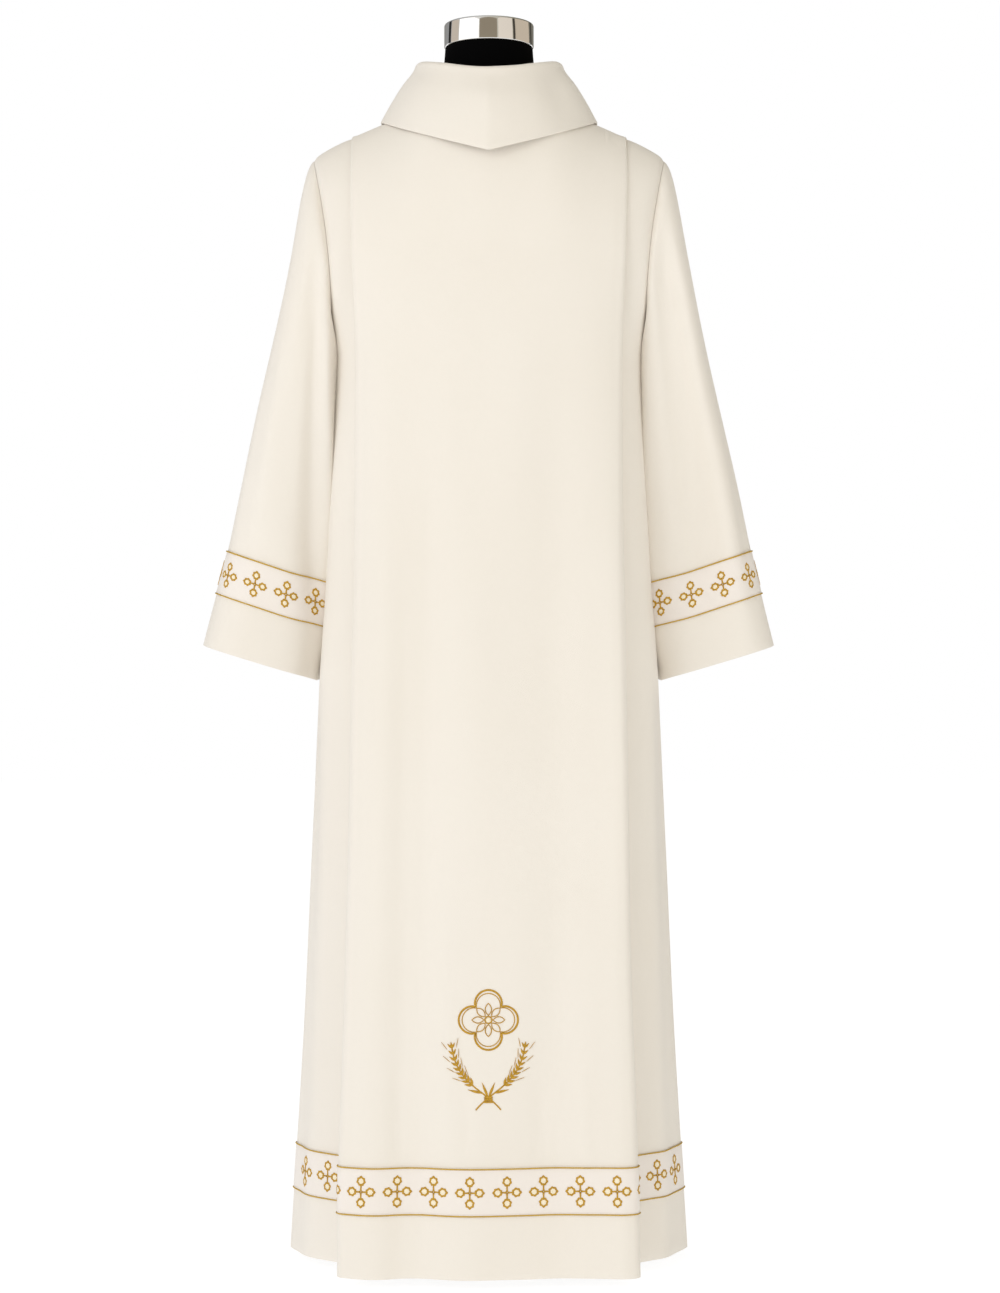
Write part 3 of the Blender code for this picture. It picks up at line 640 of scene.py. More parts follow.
def shoulder_row(face, hand, angle):
    """Half a row above the armhole's middle, where each column curves over to the top edge."""
    rise_share = math.cos(math.radians(angle))
    turn = math.asin(rise_share)
    section = smooth_row(BODY_SECTIONS, ARMHOLE_MID)
    below = level_row(face, 1, ARMHOLE_MID, 90)
    lift = mix(section.lift, PLEAT_TOP_LIFT, rise_share)
    neck_lift = mix(section.lift, SHOULDER_LIFT, rise_share)
    rises = [neck_lift] * len(NECK_SHARES)
    top_xs = [share / NECK_POINT_SHARE * NECK_POINT_X for share in NECK_SHARES]
    last_x = SHOULDER_PLEAT_X - SHOULDER_LIFT / 2 - PLEAT_STRAIGHT
    for share in PANEL_SHARES[len(NECK_SHARES):]:
        along = (share - NECK_POINT_SHARE) / (1 - NECK_POINT_SHARE)
        rises.append(mix(neck_lift, lift, along))
        top_xs.append(mix(NECK_POINT_X, last_x, along))
    for (_, rise), sink in zip(pleat_columns(SHOULDER_PLEAT_X, lift), PLEAT_SINKS):
        rises.append(rise - PLEAT_SINK * rise_share * sink)
    rises += [0.0] * len(SIDE_SHARES)
    top_xs += [x for x, _ in pleat_columns(SHOULDER_PLEAT_X, PLEAT_TOP_LIFT)]
    top_xs += [mix(SHOULDER_PLEAT_X, SHOULDER_TIP_X - SEAM_GAP, share) for share in SIDE_SHARES]
    points = []
    for (low_x, low_y, _, share), rise, top_x in zip(below[:-1], rises, top_xs):
        low_depth = abs(low_y) - share * section.lift
        top_depth, top_z = top_point(face, top_x)
        reach, height = low_depth - top_depth, top_z - ARMHOLE_MID
        power = mix(SHOULDER_ROUND_MIDDLE, SHOULDER_ROUND_SIDE, min(top_x / SHOULDER_PLEAT_X, 1))
        depth = top_depth + reach * math.cos(turn) ** (2 / power)
        z = ARMHOLE_MID + height * math.sin(turn) ** (2 / power)
        lean = math.atan2(reach * math.sin(turn), height * math.cos(turn))
        x = mix(low_x, top_x, float(ease(rise_share)))
        y = face * (depth + rise * math.cos(lean))
        points.append((hand * x, y, z + rise * math.sin(lean), share))
    x, y, z = armhole_point(face, angle)
    points.append((hand * x, face * max(abs(y), SEAM_GAP / 2), z, 0.0))
    return points


def level_table(face):
    """The height and armhole angle of each fine row, the solids' own rows among them."""
    table = []
    stops = LOWER_HEIGHTS + (UNDERARM_HEIGHT,)
    for low, high in zip(stops, stops[1:]):
        steps = math.ceil((high - low) / ROW_SPACING)
        table += [(mix(low, high, i / steps), None) for i in range(steps)]
    for low, high in zip(ARMHOLE_ANGLES, ARMHOLE_ANGLES[1:]):
        for i in range(ARMHOLE_ROWS):
            angle = mix(low, high, i / ARMHOLE_ROWS)
            table.append((armhole_point(face, angle)[2], angle))
    table.append((SHOULDER_TIP_HEIGHT, 0))
    return table


def spans_of(points, axis, closed):
    """The straight distances from point to point along one axis of a grid."""
    ahead = np.roll(points, -1, axis=axis)
    spans = np.linalg.norm(ahead[..., :3] - points[..., :3], axis=2)
    return spans if closed else np.take(spans, range(spans.shape[axis] - 1), axis=axis)


def lengths_of(points, axis, closed):
    """How far each point lies along its row or column; a closed row gets its full length too."""
    spans = spans_of(points, axis, closed)
    start = np.zeros_like(np.take(spans, [0], axis=axis))
    return np.concatenate([start, np.cumsum(spans, axis=axis)], axis=axis)


def refined(rows, steps):
    """The rows with more points, on smooth curves through the given ones."""
    rows = np.asarray(rows, float)
    spans = np.maximum(spans_of(rows, 1, False), TINY)
    slopes = (rows[:, 1:] - rows[:, :-1]) / spans[..., None]
    share = (spans[:, :-1] / (spans[:, :-1] + spans[:, 1:]))[..., None]
    inner = mix(slopes[:, :-1], slopes[:, 1:], share)
    tangents = np.concatenate([slopes[:, :1], inner, slopes[:, -1:]], axis=1)
    columns = []
    for i, count in enumerate(steps):
        slope_low, slope_high = (spans[:, i, None] * tangents[:, j] for j in (i, i + 1))
        for t in np.arange(count) / count:
            columns.append(on_curve(t, rows[:, i], slope_low, rows[:, i + 1], slope_high))
    columns.append(rows[:, -1])
    return np.stack(columns, axis=1)


def normals_of(points, closed):
    """Unit normals of a grid, on the side that faces outwards."""
    if closed:
        along = np.roll(points, -1, axis=1) - np.roll(points, 1, axis=1)
    else:
        along = np.gradient(points, axis=1)
    return unit(np.cross(along, np.gradient(points, axis=0)))


def ripple(points, seed, height):
    """A soft uneven field of tall narrow swells over these points."""
    random = np.random.default_rng(seed)
    total = np.zeros(points.shape[:2])
    for _ in range(RIPPLE_WAVES):
        width, tall = random.uniform(*RIPPLE_WIDTHS), random.uniform(*RIPPLE_HEIGHTS)
        turn, phase = random.uniform(0, 2 * math.pi, 2)
        level = points[..., 0] * math.cos(turn) + points[..., 1] * math.sin(turn)
        total += np.sin(2 * math.pi * (level / width + points[..., 2] / tall) + phase)
    return total * height * math.sqrt(2 / RIPPLE_WAVES)


def panel_swell(face, x, z):
    """How far the soft folds push the middle panel's points out of their even shape."""
    edge = np.minimum(np.abs(x) / PANEL_EDGE_X, PANEL_FLAT_MOST)
    out = PANEL_FLAT * ease((PANEL_FLAT_TOP - z) / PANEL_FLAT_GROWTH) * edge**PANEL_FLAT_POWER
    for fold in PANEL_FOLDS:
        if fold.face != face:
            continue
        middle = mix(fold.hem_x, fold.top_x, z / fold.starts)
        growth = FOLD_GROWTH if fold.ends < 0 else (fold.starts - fold.ends) * FINE_FOLD_GROWTH
        grown = ease((fold.starts - z) / growth)
        if fold.ends > 0:
            grown = grown * ease((z - fold.ends) / FOLD_PINNED)
        out += fold.height * grown * np.exp(-(((x - middle) / fold.half_width) ** 2))
    return out


def side_swell(face, side, z):
    """How far the soft folds push the skirt's side out; side is signed and 1 at its seam."""
    out = np.zeros_like(side)
    for fold in SIDE_FOLDS:
        if fold.face != face:
            continue
        middle = mix(fold.hem_share, fold.top_share, z / fold.starts)
        grown = ease((fold.starts - z) / SIDE_FOLD_GROWTH)
        edge = ease(np.abs(side) / SIDE_FOLD_EDGE) * ease((1 - np.abs(side)) / SIDE_FOLD_EDGE)
        out += edge * fold.height * grown * np.exp(-(((side - middle) / fold.half_share) ** 2))
    return out


def seam_dip(away):
    """How far the cloth dips this far from a seam."""
    return SEAM_DIP * np.exp(-((away / SEAM_WIDTH) ** 2))


def armhole_dip(points, away):
    """The way in which the cloth dips at the armhole, the same for the body and the sleeve."""
    height = points[..., 2]
    pinch = ARMHOLE_PINCH * np.exp(-(((height - ARMHOLE_PINCH_HEIGHT) / ARMHOLE_PINCH_TALL) ** 2))
    depth = ARMHOLE_DIP * np.exp(-((away / ARMHOLE_WIDTH) ** 2))
    depth = depth + pinch * np.exp(-((away / ARMHOLE_PINCH_WIDTH) ** 2))
    depth = depth * ease((height - UNDERARM_HEIGHT) / ARMHOLE_PINCH_TALL)
    y = points[..., 1] / ARMHOLE_DEPTH**2
    z = (height - ARMHOLE_MID) / ARMHOLE_HALF**2
    inwards = np.stack([np.zeros_like(y), -y, -z], axis=-1)
    return inwards / np.maximum(np.hypot(y, z), TINY)[..., None] * depth[..., None]


def evened(points, weight, passes):
    """The rows with their kinks smoothed out where the weight is above 0; both ends stay."""
    for _ in range(passes):
        middle = (points[:, :-2] + points[:, 2:]) / 2
        inner = mix(points[:, 1:-1], middle, 0.5 * weight[:, 1:-1, None])
        points = np.concatenate([points[:, :1], inner, points[:, -1:]], axis=1)
    return points


@lru_cache(maxsize=None)
def body_grid(face):
    """The back or front as a fine grid from the hem up, with its folds, seams and ripples."""
    sides = [0.0] * (len(PANEL_SHARES) + PLEAT_POINTS) + list(SIDE_SHARES)
    rows = []
    for z, angle in level_table(face):
        row = []
        for hand in (-1, 1):
            if angle is None or angle >= 90:
                half = level_row(face, hand, z, angle)
            else:
                half = shoulder_row(face, hand, angle)
            half = [(*point, hand * side) for point, side in zip(half, sides)]
            row += half[:0:-1] if hand < 0 else half
        rows.append(row if face < 0 else row[::-1])
    rows = np.array(rows)
    steps = np.ceil(spans_of(rows, 1, False).max(axis=0) / PANEL_SPACING).astype(int)
    first = len(PANEL_SHARES) - 1
    half = len(sides) - 1
    for i in range(first, first + PLEAT_POINTS):
        for place in (half + i, half - 1 - i):
            steps[place] = max(steps[place], PLEAT_STEPS)
    steps[[0, -1]] *= SEAM_STEPS
    fine = refined(rows, steps)
    points, share, side = fine[..., :3], fine[..., 3], fine[..., 4]
    z = points[..., 2]
    points[..., 1] += face * panel_swell(face, points[..., 0], z) * share
    panel = np.flatnonzero((share[0] > 1 - TINY) & (np.abs(points[0, :, 0]) < PANEL_EDGE_X))
    panel = slice(panel[0], panel[-1] + 1)
    up = lengths_of(points, 0, False)[:, panel]
    weight = ease((up[-1:] - up) / YOKE_FREE) * ease((z[:, panel] - YOKE_LOW) / YOKE_GROWTH)
    points[:, panel] = evened(points[:, panel], weight, YOKE_PASSES)
    weight = ease((np.abs(side) - SIDE_EVEN_EDGE) / SIDE_EVEN_GROWTH)
    weight = weight * ease((1 - np.abs(side)) / SIDE_EVEN_EDGE)
    points = evened(points, weight, SIDE_PASSES)
    normals = normals_of(points, False)
    along = lengths_of(points, 1, False)
    from_edge = np.minimum(along, along[:, -1:] - along)
    up = lengths_of(points, 0, False)
    from_top = up[-1:] - up
    on_shoulder = np.abs(points[-1:, :, 0]) > SHOULDER_PLEAT_X + SHOULDER_SEAM_EDGE
    dip = seam_dip(from_edge) * ease((UNDERARM_HEIGHT - z) / ARMHOLE_PINCH_TALL)
    dip = np.maximum(dip, on_shoulder * seam_dip(from_top))
    free = ease(from_edge / SEAM_FREE) * ease(from_top / SEAM_FREE)
    out = side_swell(face, side, z) + free * ripple(points, BODY_SEED + face, RIPPLE) - dip
    points = points + normals * out[..., None] + armhole_dip(points, from_edge)
    return Grid(points, False)


def sleeve_table():
    """The ring number of each fine ring, the solids' own rings among them, and its overarm x."""
    table = []
    for number, (ring, after) in enumerate(zip(SLEEVE_RINGS, SLEEVE_RINGS[1:])):
        length = math.hypot(after.over_x - ring.over_x, ring.over_z - after.over_z)
        steps = math.ceil(length / ROW_SPACING) * (1 if number else SEAM_STEPS)
        for i in range(steps):
            table.append((number + i / steps, mix(ring.over_x, after.over_x, i / steps)))
    return table + [(len(SLEEVE_RINGS) - 1, SLEEVE_RINGS[-1].over_x)]


@lru_cache(maxsize=None)
def sleeve_grid(hand):
    """A sleeve as a fine grid of rings, from the armhole down to its edge."""
    turns = 2 * math.pi * np.arange(SLEEVE_COLUMNS) / SLEEVE_COLUMNS
    angles = np.degrees(np.where(turns < math.pi, math.pi - turns, turns - math.pi))
    faces = np.where(turns < math.pi, -1.0, 1.0)
    cosines, sines = np.cos(np.radians(angles)), np.sin(np.radians(angles))
    rows = []
    for number, key in sleeve_table():
        ring = smooth_row(SLEEVE_RINGS, key)
        down = number / (len(SLEEVE_RINGS) - 1)
        over = np.array((ring.over_x, ring.middle_y, ring.over_z))
        under = np.array((ring.under_x, ring.middle_y, ring.under_z))
        middle, half = (over + under) / 2, (over - under) / 2
        swell = np.zeros(SLEEVE_COLUMNS)
        for fold in SLEEVE_FOLDS:
            if fold.hand in (0, hand):
                grown = float(ease((number - fold.starts) / SLEEVE_FOLD_GROWTH))
                fade = float(ease((number - SLEEVE_FADE_RING) / SLEEVE_FADE_RINGS))
                grown *= 1 - SLEEVE_FOLD_FADE * fade
                away = angles - mix(fold.top_angle, fold.cuff_angle, down)
                bump = fold.height * np.exp(-((away / fold.half_angle) ** 2))
                swell += np.where(faces == fold.face, grown * bump, 0.0)
        power = 2 / mix(2.0, SLEEVE_SQUARENESS, float(ease(number / SLEEVE_SQUARE_RINGS)))
        wide = np.sign(cosines) * np.abs(cosines) ** power
        around = np.stack([np.zeros_like(sines), faces * sines**power, np.zeros_like(sines)], axis=1)
        radial = wide[:, None] * half
        outwards = unit(cosines[:, None] * half / np.linalg.norm(half) + around)
        row = middle + radial + around * ring.depth + outwards * swell[:, None]
        row[:, 0] -= ring.bow * sines**2
        lean = float(ease(number / SLEEVE_LEAN_RINGS) - CUFF_LEAN * ease(number - CUFF_LEAN_RING))
        row[:, 0] -= SLEEVE_LEAN * lean * ease((angles - SLEEVE_LEAN_ANGLE) / SLEEVE_LEAN_GROWTH)
        corner = ease(number / CORNER_RINGS) * ease((len(SLEEVE_RINGS) - number) / CORNER_END_RINGS)
        corner = CORNER_LEAN * corner * ease((angles - CORNER_ANGLE) / CORNER_GROWTH)
        row[:, 0] -= corner * ease((180 - angles) / CORNER_SEAM_ANGLE)
        row[:, 0] *= hand
        rows.append(row if hand < 0 else np.roll(row[::-1], 1, axis=0))
    points = np.array(rows)
    normals = normals_of(points, True)
    down = lengths_of(points, 0, False)
    out = ease(down / SEAM_FREE) * ripple(points, SLEEVE_SEED + hand, RIPPLE)
    dip = armhole_dip(np.broadcast_to(points[:1], points.shape), down)
    return Grid(points + normals * out[..., None] + dip, True)


def neckline_point(face, angle):
    """The neckline's edge at this angle from the middle, along the straight cuts of the panel."""
    number = 0
    while angle > NECK_ANGLES[number + 1] and number < len(NECK_ANGLES) - 2:
        number += 1
    before, after = NECK_ANGLES[number:number + 2]
    ends = []
    for end in (before, after):
        x = NECK_POINT_X * math.sin(math.radians(end))
        depth, height = top_point(face, min(x, NECK_POINT_X - TINY))
        ends.append(Vector((x, face * depth, height + SHOULDER_LIFT)))
    return ends[0].lerp(ends[1], (angle - before) / (after - before))


def collar_ring(ring, angle):
    """This measure of the collar's ring, part of the way from its side to its back or front."""
    middle = ring.back if math.cos(angle) > 0 else ring.front
    return mix(ring.side, middle, math.cos(angle) ** 2)


def collar_column(angle):
    """The collar's section at this angle: its fall's edge, the fold and the foot of its stand."""
    back = math.cos(angle) > 0
    side_share = abs(math.sin(angle))
    out = Vector((-math.sin(angle), -math.cos(angle), 0))
    foot = neckline_point(-1 if back else 1, math.degrees(math.asin(side_share)))
    foot = Vector((math.copysign(foot.x, out.x), foot.y, foot.z + SEAM_GAP))
    top = out * collar_ring(COLLAR_TOP_RADIUS, angle)
    top.z = collar_ring(COLLAR_TOP_HEIGHT, angle)
    edge_middle = COLLAR_EDGE_HEIGHT.back if back else COLLAR_EDGE_HEIGHT.front
    bend = COLLAR_EDGE_CURVE + (1 - COLLAR_EDGE_CURVE) * (1 - abs(math.cos(angle)))
    edge = Vector((out.x * COLLAR_EDGE_RADIUS.side, 0, 0))
    edge.y = out.y * (COLLAR_EDGE_RADIUS.back if back else COLLAR_EDGE_RADIUS.front)
    edge.z = mix(edge_middle, COLLAR_EDGE_HEIGHT.side, side_share * bend)
    start = top - Vector((0, 0, COLLAR_FOLD))
    off_middle = math.asin(min(side_share, 1.0))
    ridge = COLLAR_RIDGE * math.exp(-off_middle / COLLAR_RIDGE_ANGLE)
    turned = math.degrees(math.atan2(math.sin(-angle), math.cos(-angle)))
    points = []
    for share in COLLAR_FALL_SHARES:
        swell = COLLAR_FALL_BULGE * math.sin(math.pi * share)
        swell += ridge * float(ease(share / COLLAR_RIDGE_FALL))
        for dent in COLLAR_DENTS:
            across = (turned - dent.angle) / dent.half_angle
            down = (share - dent.fall) / dent.half_fall
            swell += dent.height * math.exp(-(across**2) - down**2)
        points.append(start.lerp(edge, share) + out * swell)
    for turn in map(math.radians, COLLAR_FOLD_ANGLES):
        over = out * (math.cos(turn) - 1) + Vector((0, 0, math.sin(turn)))
        points.append(start + COLLAR_FOLD * over)
    points.append(points[-1].lerp(foot, 0.5))
    points.append(foot)
    return [tuple(point) for point in points]


@lru_cache(maxsize=None)
def collar_grid():
    """The collar as a fine grid of rings, from the edge of its fall to the foot of its stand."""
    angles = [2 * math.pi * i / COLLAR_COLUMNS for i in range(COLLAR_COLUMNS)]
    sections = np.array([collar_column(angle) for angle in angles])
    steps = np.ceil(spans_of(sections, 1, False).max(axis=0) / COLLAR_SPACING).astype(int)
    points = refined(sections, np.maximum(steps, COLLAR_LEAST_STEPS)).transpose(1, 0, 2)
    points = points[:, ::-1]
    normals = normals_of(points, True)
    down = lengths_of(points, 0, False)
    out = COLLAR_CLOTH + ease(down / SEAM_FREE) * ripple(points, COLLAR_SEED, COLLAR_RIPPLE)
    return Grid(points + normals * out[..., None], True)


class Grid:
    """A piece of cloth as rows of points, with its outward normals and its lengths in metres."""

    def __init__(self, points, closed):
        self.points = points
        self.closed = closed
        self.normals = normals_of(points, closed)
        self.along = lengths_of(points, 1, closed)
        self.across = lengths_of(points, 0, False)

    def part(self, first, last):
        """The rows from one to another."""
        return Grid(self.points[first:last + 1], self.closed)

    def moved(self, distance):
        """The same cloth, moved out along its normals."""
        return Grid(self.points + self.normals * distance, self.closed)

    def width_length(self):
        """The longest row and the longest column, as the cloth lies flat."""
        return float(self.along[:, -1].max()), float(self.across[-1].max())

    def area(self):
        """The cloth's area along its outer skin."""
        points = self.points
        if self.closed:
            points = np.concatenate([points, points[:, :1]], axis=1)
        diagonals = points[1:, 1:] - points[:-1, :-1], points[1:, :-1] - points[:-1, 1:]
        return float(np.linalg.norm(np.cross(*diagonals), axis=2).sum() / 2)


class Chart:
    """Lays embroidery on a grid: s runs along the rows from one column, t across from one row."""

    def __init__(self, grid, row, column):
        self.grid = grid
        self.lengths = grid.along[row] - grid.along[row][column]
        self.heights = grid.across[:, column] - grid.across[row][column]

    def place(self, flat):
        """The points of the cloth's space for (s, t, height above the cloth)."""
        grid = self.grid
        s, t, height = np.moveaxis(np.asarray(flat, float), -1, 0)
        rows, columns = grid.points.shape[:2]
        if grid.closed:
            s = (s - self.lengths[0]) % (self.lengths[-1] - self.lengths[0]) + self.lengths[0]
        c = np.interp(s, self.lengths, np.arange(len(self.lengths)))
        r = np.clip(np.interp(t, self.heights, np.arange(rows)), 0, rows - 1 - TINY)
        if not grid.closed:
            c = np.clip(c, 0, columns - 1 - TINY)
        c0, r0 = np.floor(c).astype(int), np.floor(r).astype(int)
        fc, fr = (c - c0)[..., None], (r - r0)[..., None]
        c1 = (c0 + 1) % columns
        c0 = c0 % columns
        found = []
        for values in (grid.points, grid.normals):
            low = mix(values[r0, c0], values[r0, c1], fc)
            high = mix(values[r0 + 1, c0], values[r0 + 1, c1], fc)
            found.append(mix(low, high, fr))
        point, normal = found
        return point + unit(normal) * height[..., None]


class Build:
    """Gathers the points, faces and UV lengths of one mesh."""

    def __init__(self):
        self.points, self.faces, self.uvs = [], [], []
        self.count = 0

    def add(self, points, faces, uvs):
        """Adds points, faces that number them from 0, and one UV pair for each face corner."""
        self.points.append(np.asarray(points, float).reshape(-1, 3))
        self.faces += [[self.count + i for i in face] for face in faces]
        self.uvs.append(np.asarray(uvs, float).reshape(-1, 2))
        self.count += len(self.points[-1])

    def finish(self, name, material, slot):
        """Makes the object, smooth all over but for its sharp edges."""
        mesh = bpy.data.meshes.new(name)
        mesh.from_pydata(np.concatenate(self.points).tolist(), [], self.faces)
        layer = mesh.uv_layers.new(name="UVMap")
        layer.data.foreach_set("uv", np.concatenate(self.uvs).ravel())
        mesh.shade_smooth()
        mesh.set_sharp_from_angle(angle=SHARP_ANGLE)
        mesh.materials.append(material)
        piece = bpy.data.objects.new(name, mesh)
        bpy.context.scene.collection.objects.link(piece)
        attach(piece, "root")
        return piece


def loft(build, points, u, v, round_columns, round_rows):
    """Adds a grid of faces; u and v are its UV lengths, a step longer where it closes."""
    rows, columns = points.shape[:2]
    faces, uvs = [], []
    for r in range(rows if round_rows else rows - 1):
        r1 = (r + 1) % rows
        for c in range(columns if round_columns else columns - 1):
            c1 = (c + 1) % columns
            faces.append((r * columns + c, r * columns + c1, r1 * columns + c1, r1 * columns + c))
            uvs.append(((u[c], v[r]), (u[c + 1], v[r]), (u[c + 1], v[r + 1]), (u[c], v[r + 1])))
    build.add(points.reshape(-1, 3), faces, uvs)


def cloth_shell(build, grid, thickness, first_round=True, last_round=True):
    """A thin closed shell whose outer skin is the grid; its first and last edge may be rounded."""
    points, normals = grid.points, grid.normals
    half = thickness / 2
    centre = points - normals * half
    ends = []
    for row, towards, turns in (
        (-1, -2, EDGE_TURNS if last_round else ()),
        (0, 1, EDGE_TURNS[::-1] if first_round else ()),
    ):
        out = centre[row] - centre[towards]
        out = unit(out - normals[row] * (out * normals[row]).sum(axis=1, keepdims=True))
        rim = [centre[row] + half * (normals[row] * math.cos(a) + out * math.sin(a)) for a in turns]
        ends.append(np.array(rim).reshape(-1, *points[0].shape))
    loop = np.concatenate([points, ends[0], (points - normals * thickness)[::-1], ends[1]])
    middle = points.shape[1] // 2
    u = grid.along[len(points) // 2]
    if not grid.closed:
        u = u - u[middle]
    v = lengths_of(np.concatenate([loop, loop[:1]])[:, middle:middle + 1], 0, False)[:, 0]
    loft(build, loop, u, v, grid.closed, True)
    if not grid.closed:
        rows, columns = loop.shape[:2]
        for column, order in ((0, 1), (columns - 1, -1)):
            outer = [r * columns + column for r in range(len(points))]
            inner = [(rows - 1 - len(ends[1]) - r) * columns + column for r in range(len(points))]
            faces = []
            for r in range(len(points) - 1):
                faces.append((outer[r], outer[r + 1], inner[r + 1], inner[r])[::order])
            last = [(len(points) + i) * columns + column for i in range(len(ends[0]))]
            first = [(rows - len(ends[1]) + i) * columns + column for i in range(len(ends[1]))]
            if last:
                faces.append((outer[-1], *last, inner[-1])[::order])
            if first:
                faces.append((inner[0], *first, outer[0])[::order])
            start = build.count - rows * columns
            build.faces += [[start + i for i in face] for face in faces]
            build.uvs.append(np.zeros((sum(map(len, faces)), 2)))


def close_ends(build, start, rows, columns):
    """Closes both ends of a tube whose grid begins at this point of the build."""
    for column, order in ((0, 1), (columns - 1, -1)):
        face = [start + row * columns + column for row in range(rows)][::order]
        build.faces.append(face)
        build.uvs.append(np.zeros((len(face), 2)))


def cloth_piece(node, grid, thickness, material, slot, **rounds):
    """Makes the cloth that stands for a solid, which isn't shown."""
    build = Build()
    cloth_shell(build, grid, thickness, **rounds)
    piece = build.finish(f"cloth_{node}", material, slot)
    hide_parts(node)
    return piece


def ranged(nodes, links, value, numbers):
    """A node that moves a value from one range to another; numbers holds both ranges."""
    node = nodes.new("ShaderNodeMapRange")
    for socket, number in zip(node.inputs[1:5], numbers):
        socket.default_value = number
    links.new(value, node.inputs["Value"])
    return node.outputs["Result"]


class Tree:
    """A new material, with short ways to add and join its nodes."""

    def __init__(self, name):
        self.material = bpy.data.materials.new(name)
        self.material.use_nodes = True
        self.nodes = self.material.node_tree.nodes
        self.links = self.material.node_tree.links
        self.shader = self.nodes["Principled BSDF"]
        self.place = self.add("ShaderNodeTexCoord")

    def add(self, kind, **values):
        """A node with these properties and these socket values, whose names have _ for spaces."""
        node = self.nodes.new(kind)
        for key, value in values.items():
            if hasattr(node, key):
                setattr(node, key, value)
            else:
                node.inputs[key.replace("_", " ")].default_value = value
        return node

    def set(self, **values):
        """Values on the shader's own sockets."""
        for key, value in values.items():
            self.shader.inputs[key.replace("_", " ")].default_value = value

    def noise(self, space, **values):
        """The value of a noise texture on these coordinates."""
        node = self.add("ShaderNodeTexNoise", **values)
        self.links.new(self.place.outputs[space], node.inputs["Vector"])
        return node.outputs["Fac"]

    def wave(self, **values):
        """The value of a wave texture along the piece's own lengths."""
        node = self.add("ShaderNodeTexWave", **values)
        self.links.new(self.place.outputs["UV"], node.inputs["Vector"])
        return node.outputs["Fac"]

    def scaled(self, value, low, high, to_low=0.0, to_high=1.0):
        """A value moved from one range to another."""
        return ranged(self.nodes, self.links, value, (low, high, to_low, to_high))

    def sum(self, value, factor, other):
        """One value times a factor, plus another value."""
        node = self.add("ShaderNodeMath", operation="MULTIPLY_ADD")
        self.links.new(value, node.inputs[0])
        node.inputs[1].default_value = factor
        self.links.new(other, node.inputs[2])
        return node.outputs["Value"]

    def blend(self, factor, first, second, kind="MIX"):
        """A colour between two others; each is a colour or a node's output."""
        node = self.add("ShaderNodeMix", data_type="RGBA", blend_type=kind)
        for value, socket in ((factor, 0), (first, MIX_FIRST), (second, MIX_SECOND)):
            if isinstance(value, bpy.types.NodeSocket):
                self.links.new(value, node.inputs[socket])
            elif socket:
                node.inputs[socket].default_value = (*value, 1.0)
            else:
                node.inputs[socket].default_value = value
        return node.outputs[2]

    def relief(self, height, strength, distance):
        """Gives the surface small bumps where this value is high."""
        node = self.add("ShaderNodeBump", Strength=strength, Distance=distance)
        self.links.new(height, node.inputs["Height"])
        self.links.new(node.outputs["Normal"], self.shader.inputs["Normal"])

    def join(self, value, socket):
        """Joins a value to one of the shader's own sockets."""
        self.links.new(value, self.shader.inputs[socket])


def period(size):
    """The scale of a wave texture whose bands are this far apart."""
    return 2 * math.pi / (WAVE_PHASE * size)


def cloth_material(name, colour, warm, thread, roughness, sheen, bump):
    """Woven cloth: fine twill that follows the cloth's own lengths, and faint uneven tone."""
    tree = Tree(name)
    tree.set(Roughness=roughness, Sheen_Weight=sheen, Sheen_Roughness=0.45, Specular_IOR_Level=0.25)
    tone = tree.noise("Object", Scale=2.6, Detail=3.0, Roughness=0.55)
    body = tree.blend(tree.scaled(tone, *CLOUD_RANGE), colour, warm)
    slub = tree.noise("Object", Scale=SLUB_SCALE / thread, Detail=2.0)
    twill = tree.wave(bands_direction="DIAGONAL", Scale=2 * period(thread), Distortion=0.3)
    weft = tree.wave(bands_direction="X", Scale=period(thread * WEFT_SPACING))
    weave = tree.sum(slub, SLUB_SHARE, tree.sum(weft, WEFT_SHARE, twill))
    shade = tree.scaled(weave, *WEAVE_SHADE)
    tree.join(tree.blend(1.0, body, shade, "MULTIPLY"), "Base Color")
    tree.relief(weave, bump, thread * WEAVE_DEPTH)
    return tree.material


def thread_material(name, colour, dark, roughness, metallic, thread):
    """Embroidery thread: bright strands across each stitched line, shade painted in between them, and a
    faint random tone.
    """
    tree = Tree(name)
    tree.set(Roughness=roughness, Metallic=metallic, Specular_IOR_Level=0.2)
    strands = tree.wave(bands_direction="X", Scale=period(thread), Distortion=0.6)
    tone = tree.noise("Object", Scale=240.0, Detail=2.0)
    mixed = tree.sum(tone, 0.5, strands)
    # The dark colour is painted shade between the strands; the noise adds a real, uneven tone
    tree.join(tree.blend(tree.scaled(mixed, *STRAND_RANGE), dark, colour), "Base Color")
    tree.relief(mixed, STRAND_RELIEF, thread / 2)
    return tree.material


def hard_material(name, colour, roughness, metallic, grain, bump):
    """Metal or paint with faintly uneven polish and a fine grain."""
    tree = Tree(name)
    tree.set(Metallic=metallic)
    tone = tree.noise("Object", Scale=grain, Detail=3.0)
    polish = tree.scaled(tone, 0.0, 1.0, roughness * POLISH_LOW, roughness * POLISH_HIGH)
    tree.join(polish, "Roughness")
    tree.join(tree.blend(tone, tuple(c * METAL_SHADE for c in colour), colour), "Base Color")
    tree.relief(tone, bump, METAL_DEPTH)
    return tree.material


def knit_material(name, colour, dark, loop):
    """The form's cover: black knitted cloth."""
    tree = Tree(name)
    tree.set(Roughness=0.9, Specular_IOR_Level=0.04)
    fuzz = tree.noise("Object", Scale=1 / loop, Detail=3.0)
    tree.join(tree.blend(fuzz, dark, colour), "Base Color")
    tree.relief(fuzz, KNIT_RELIEF, loop)
    return tree.material


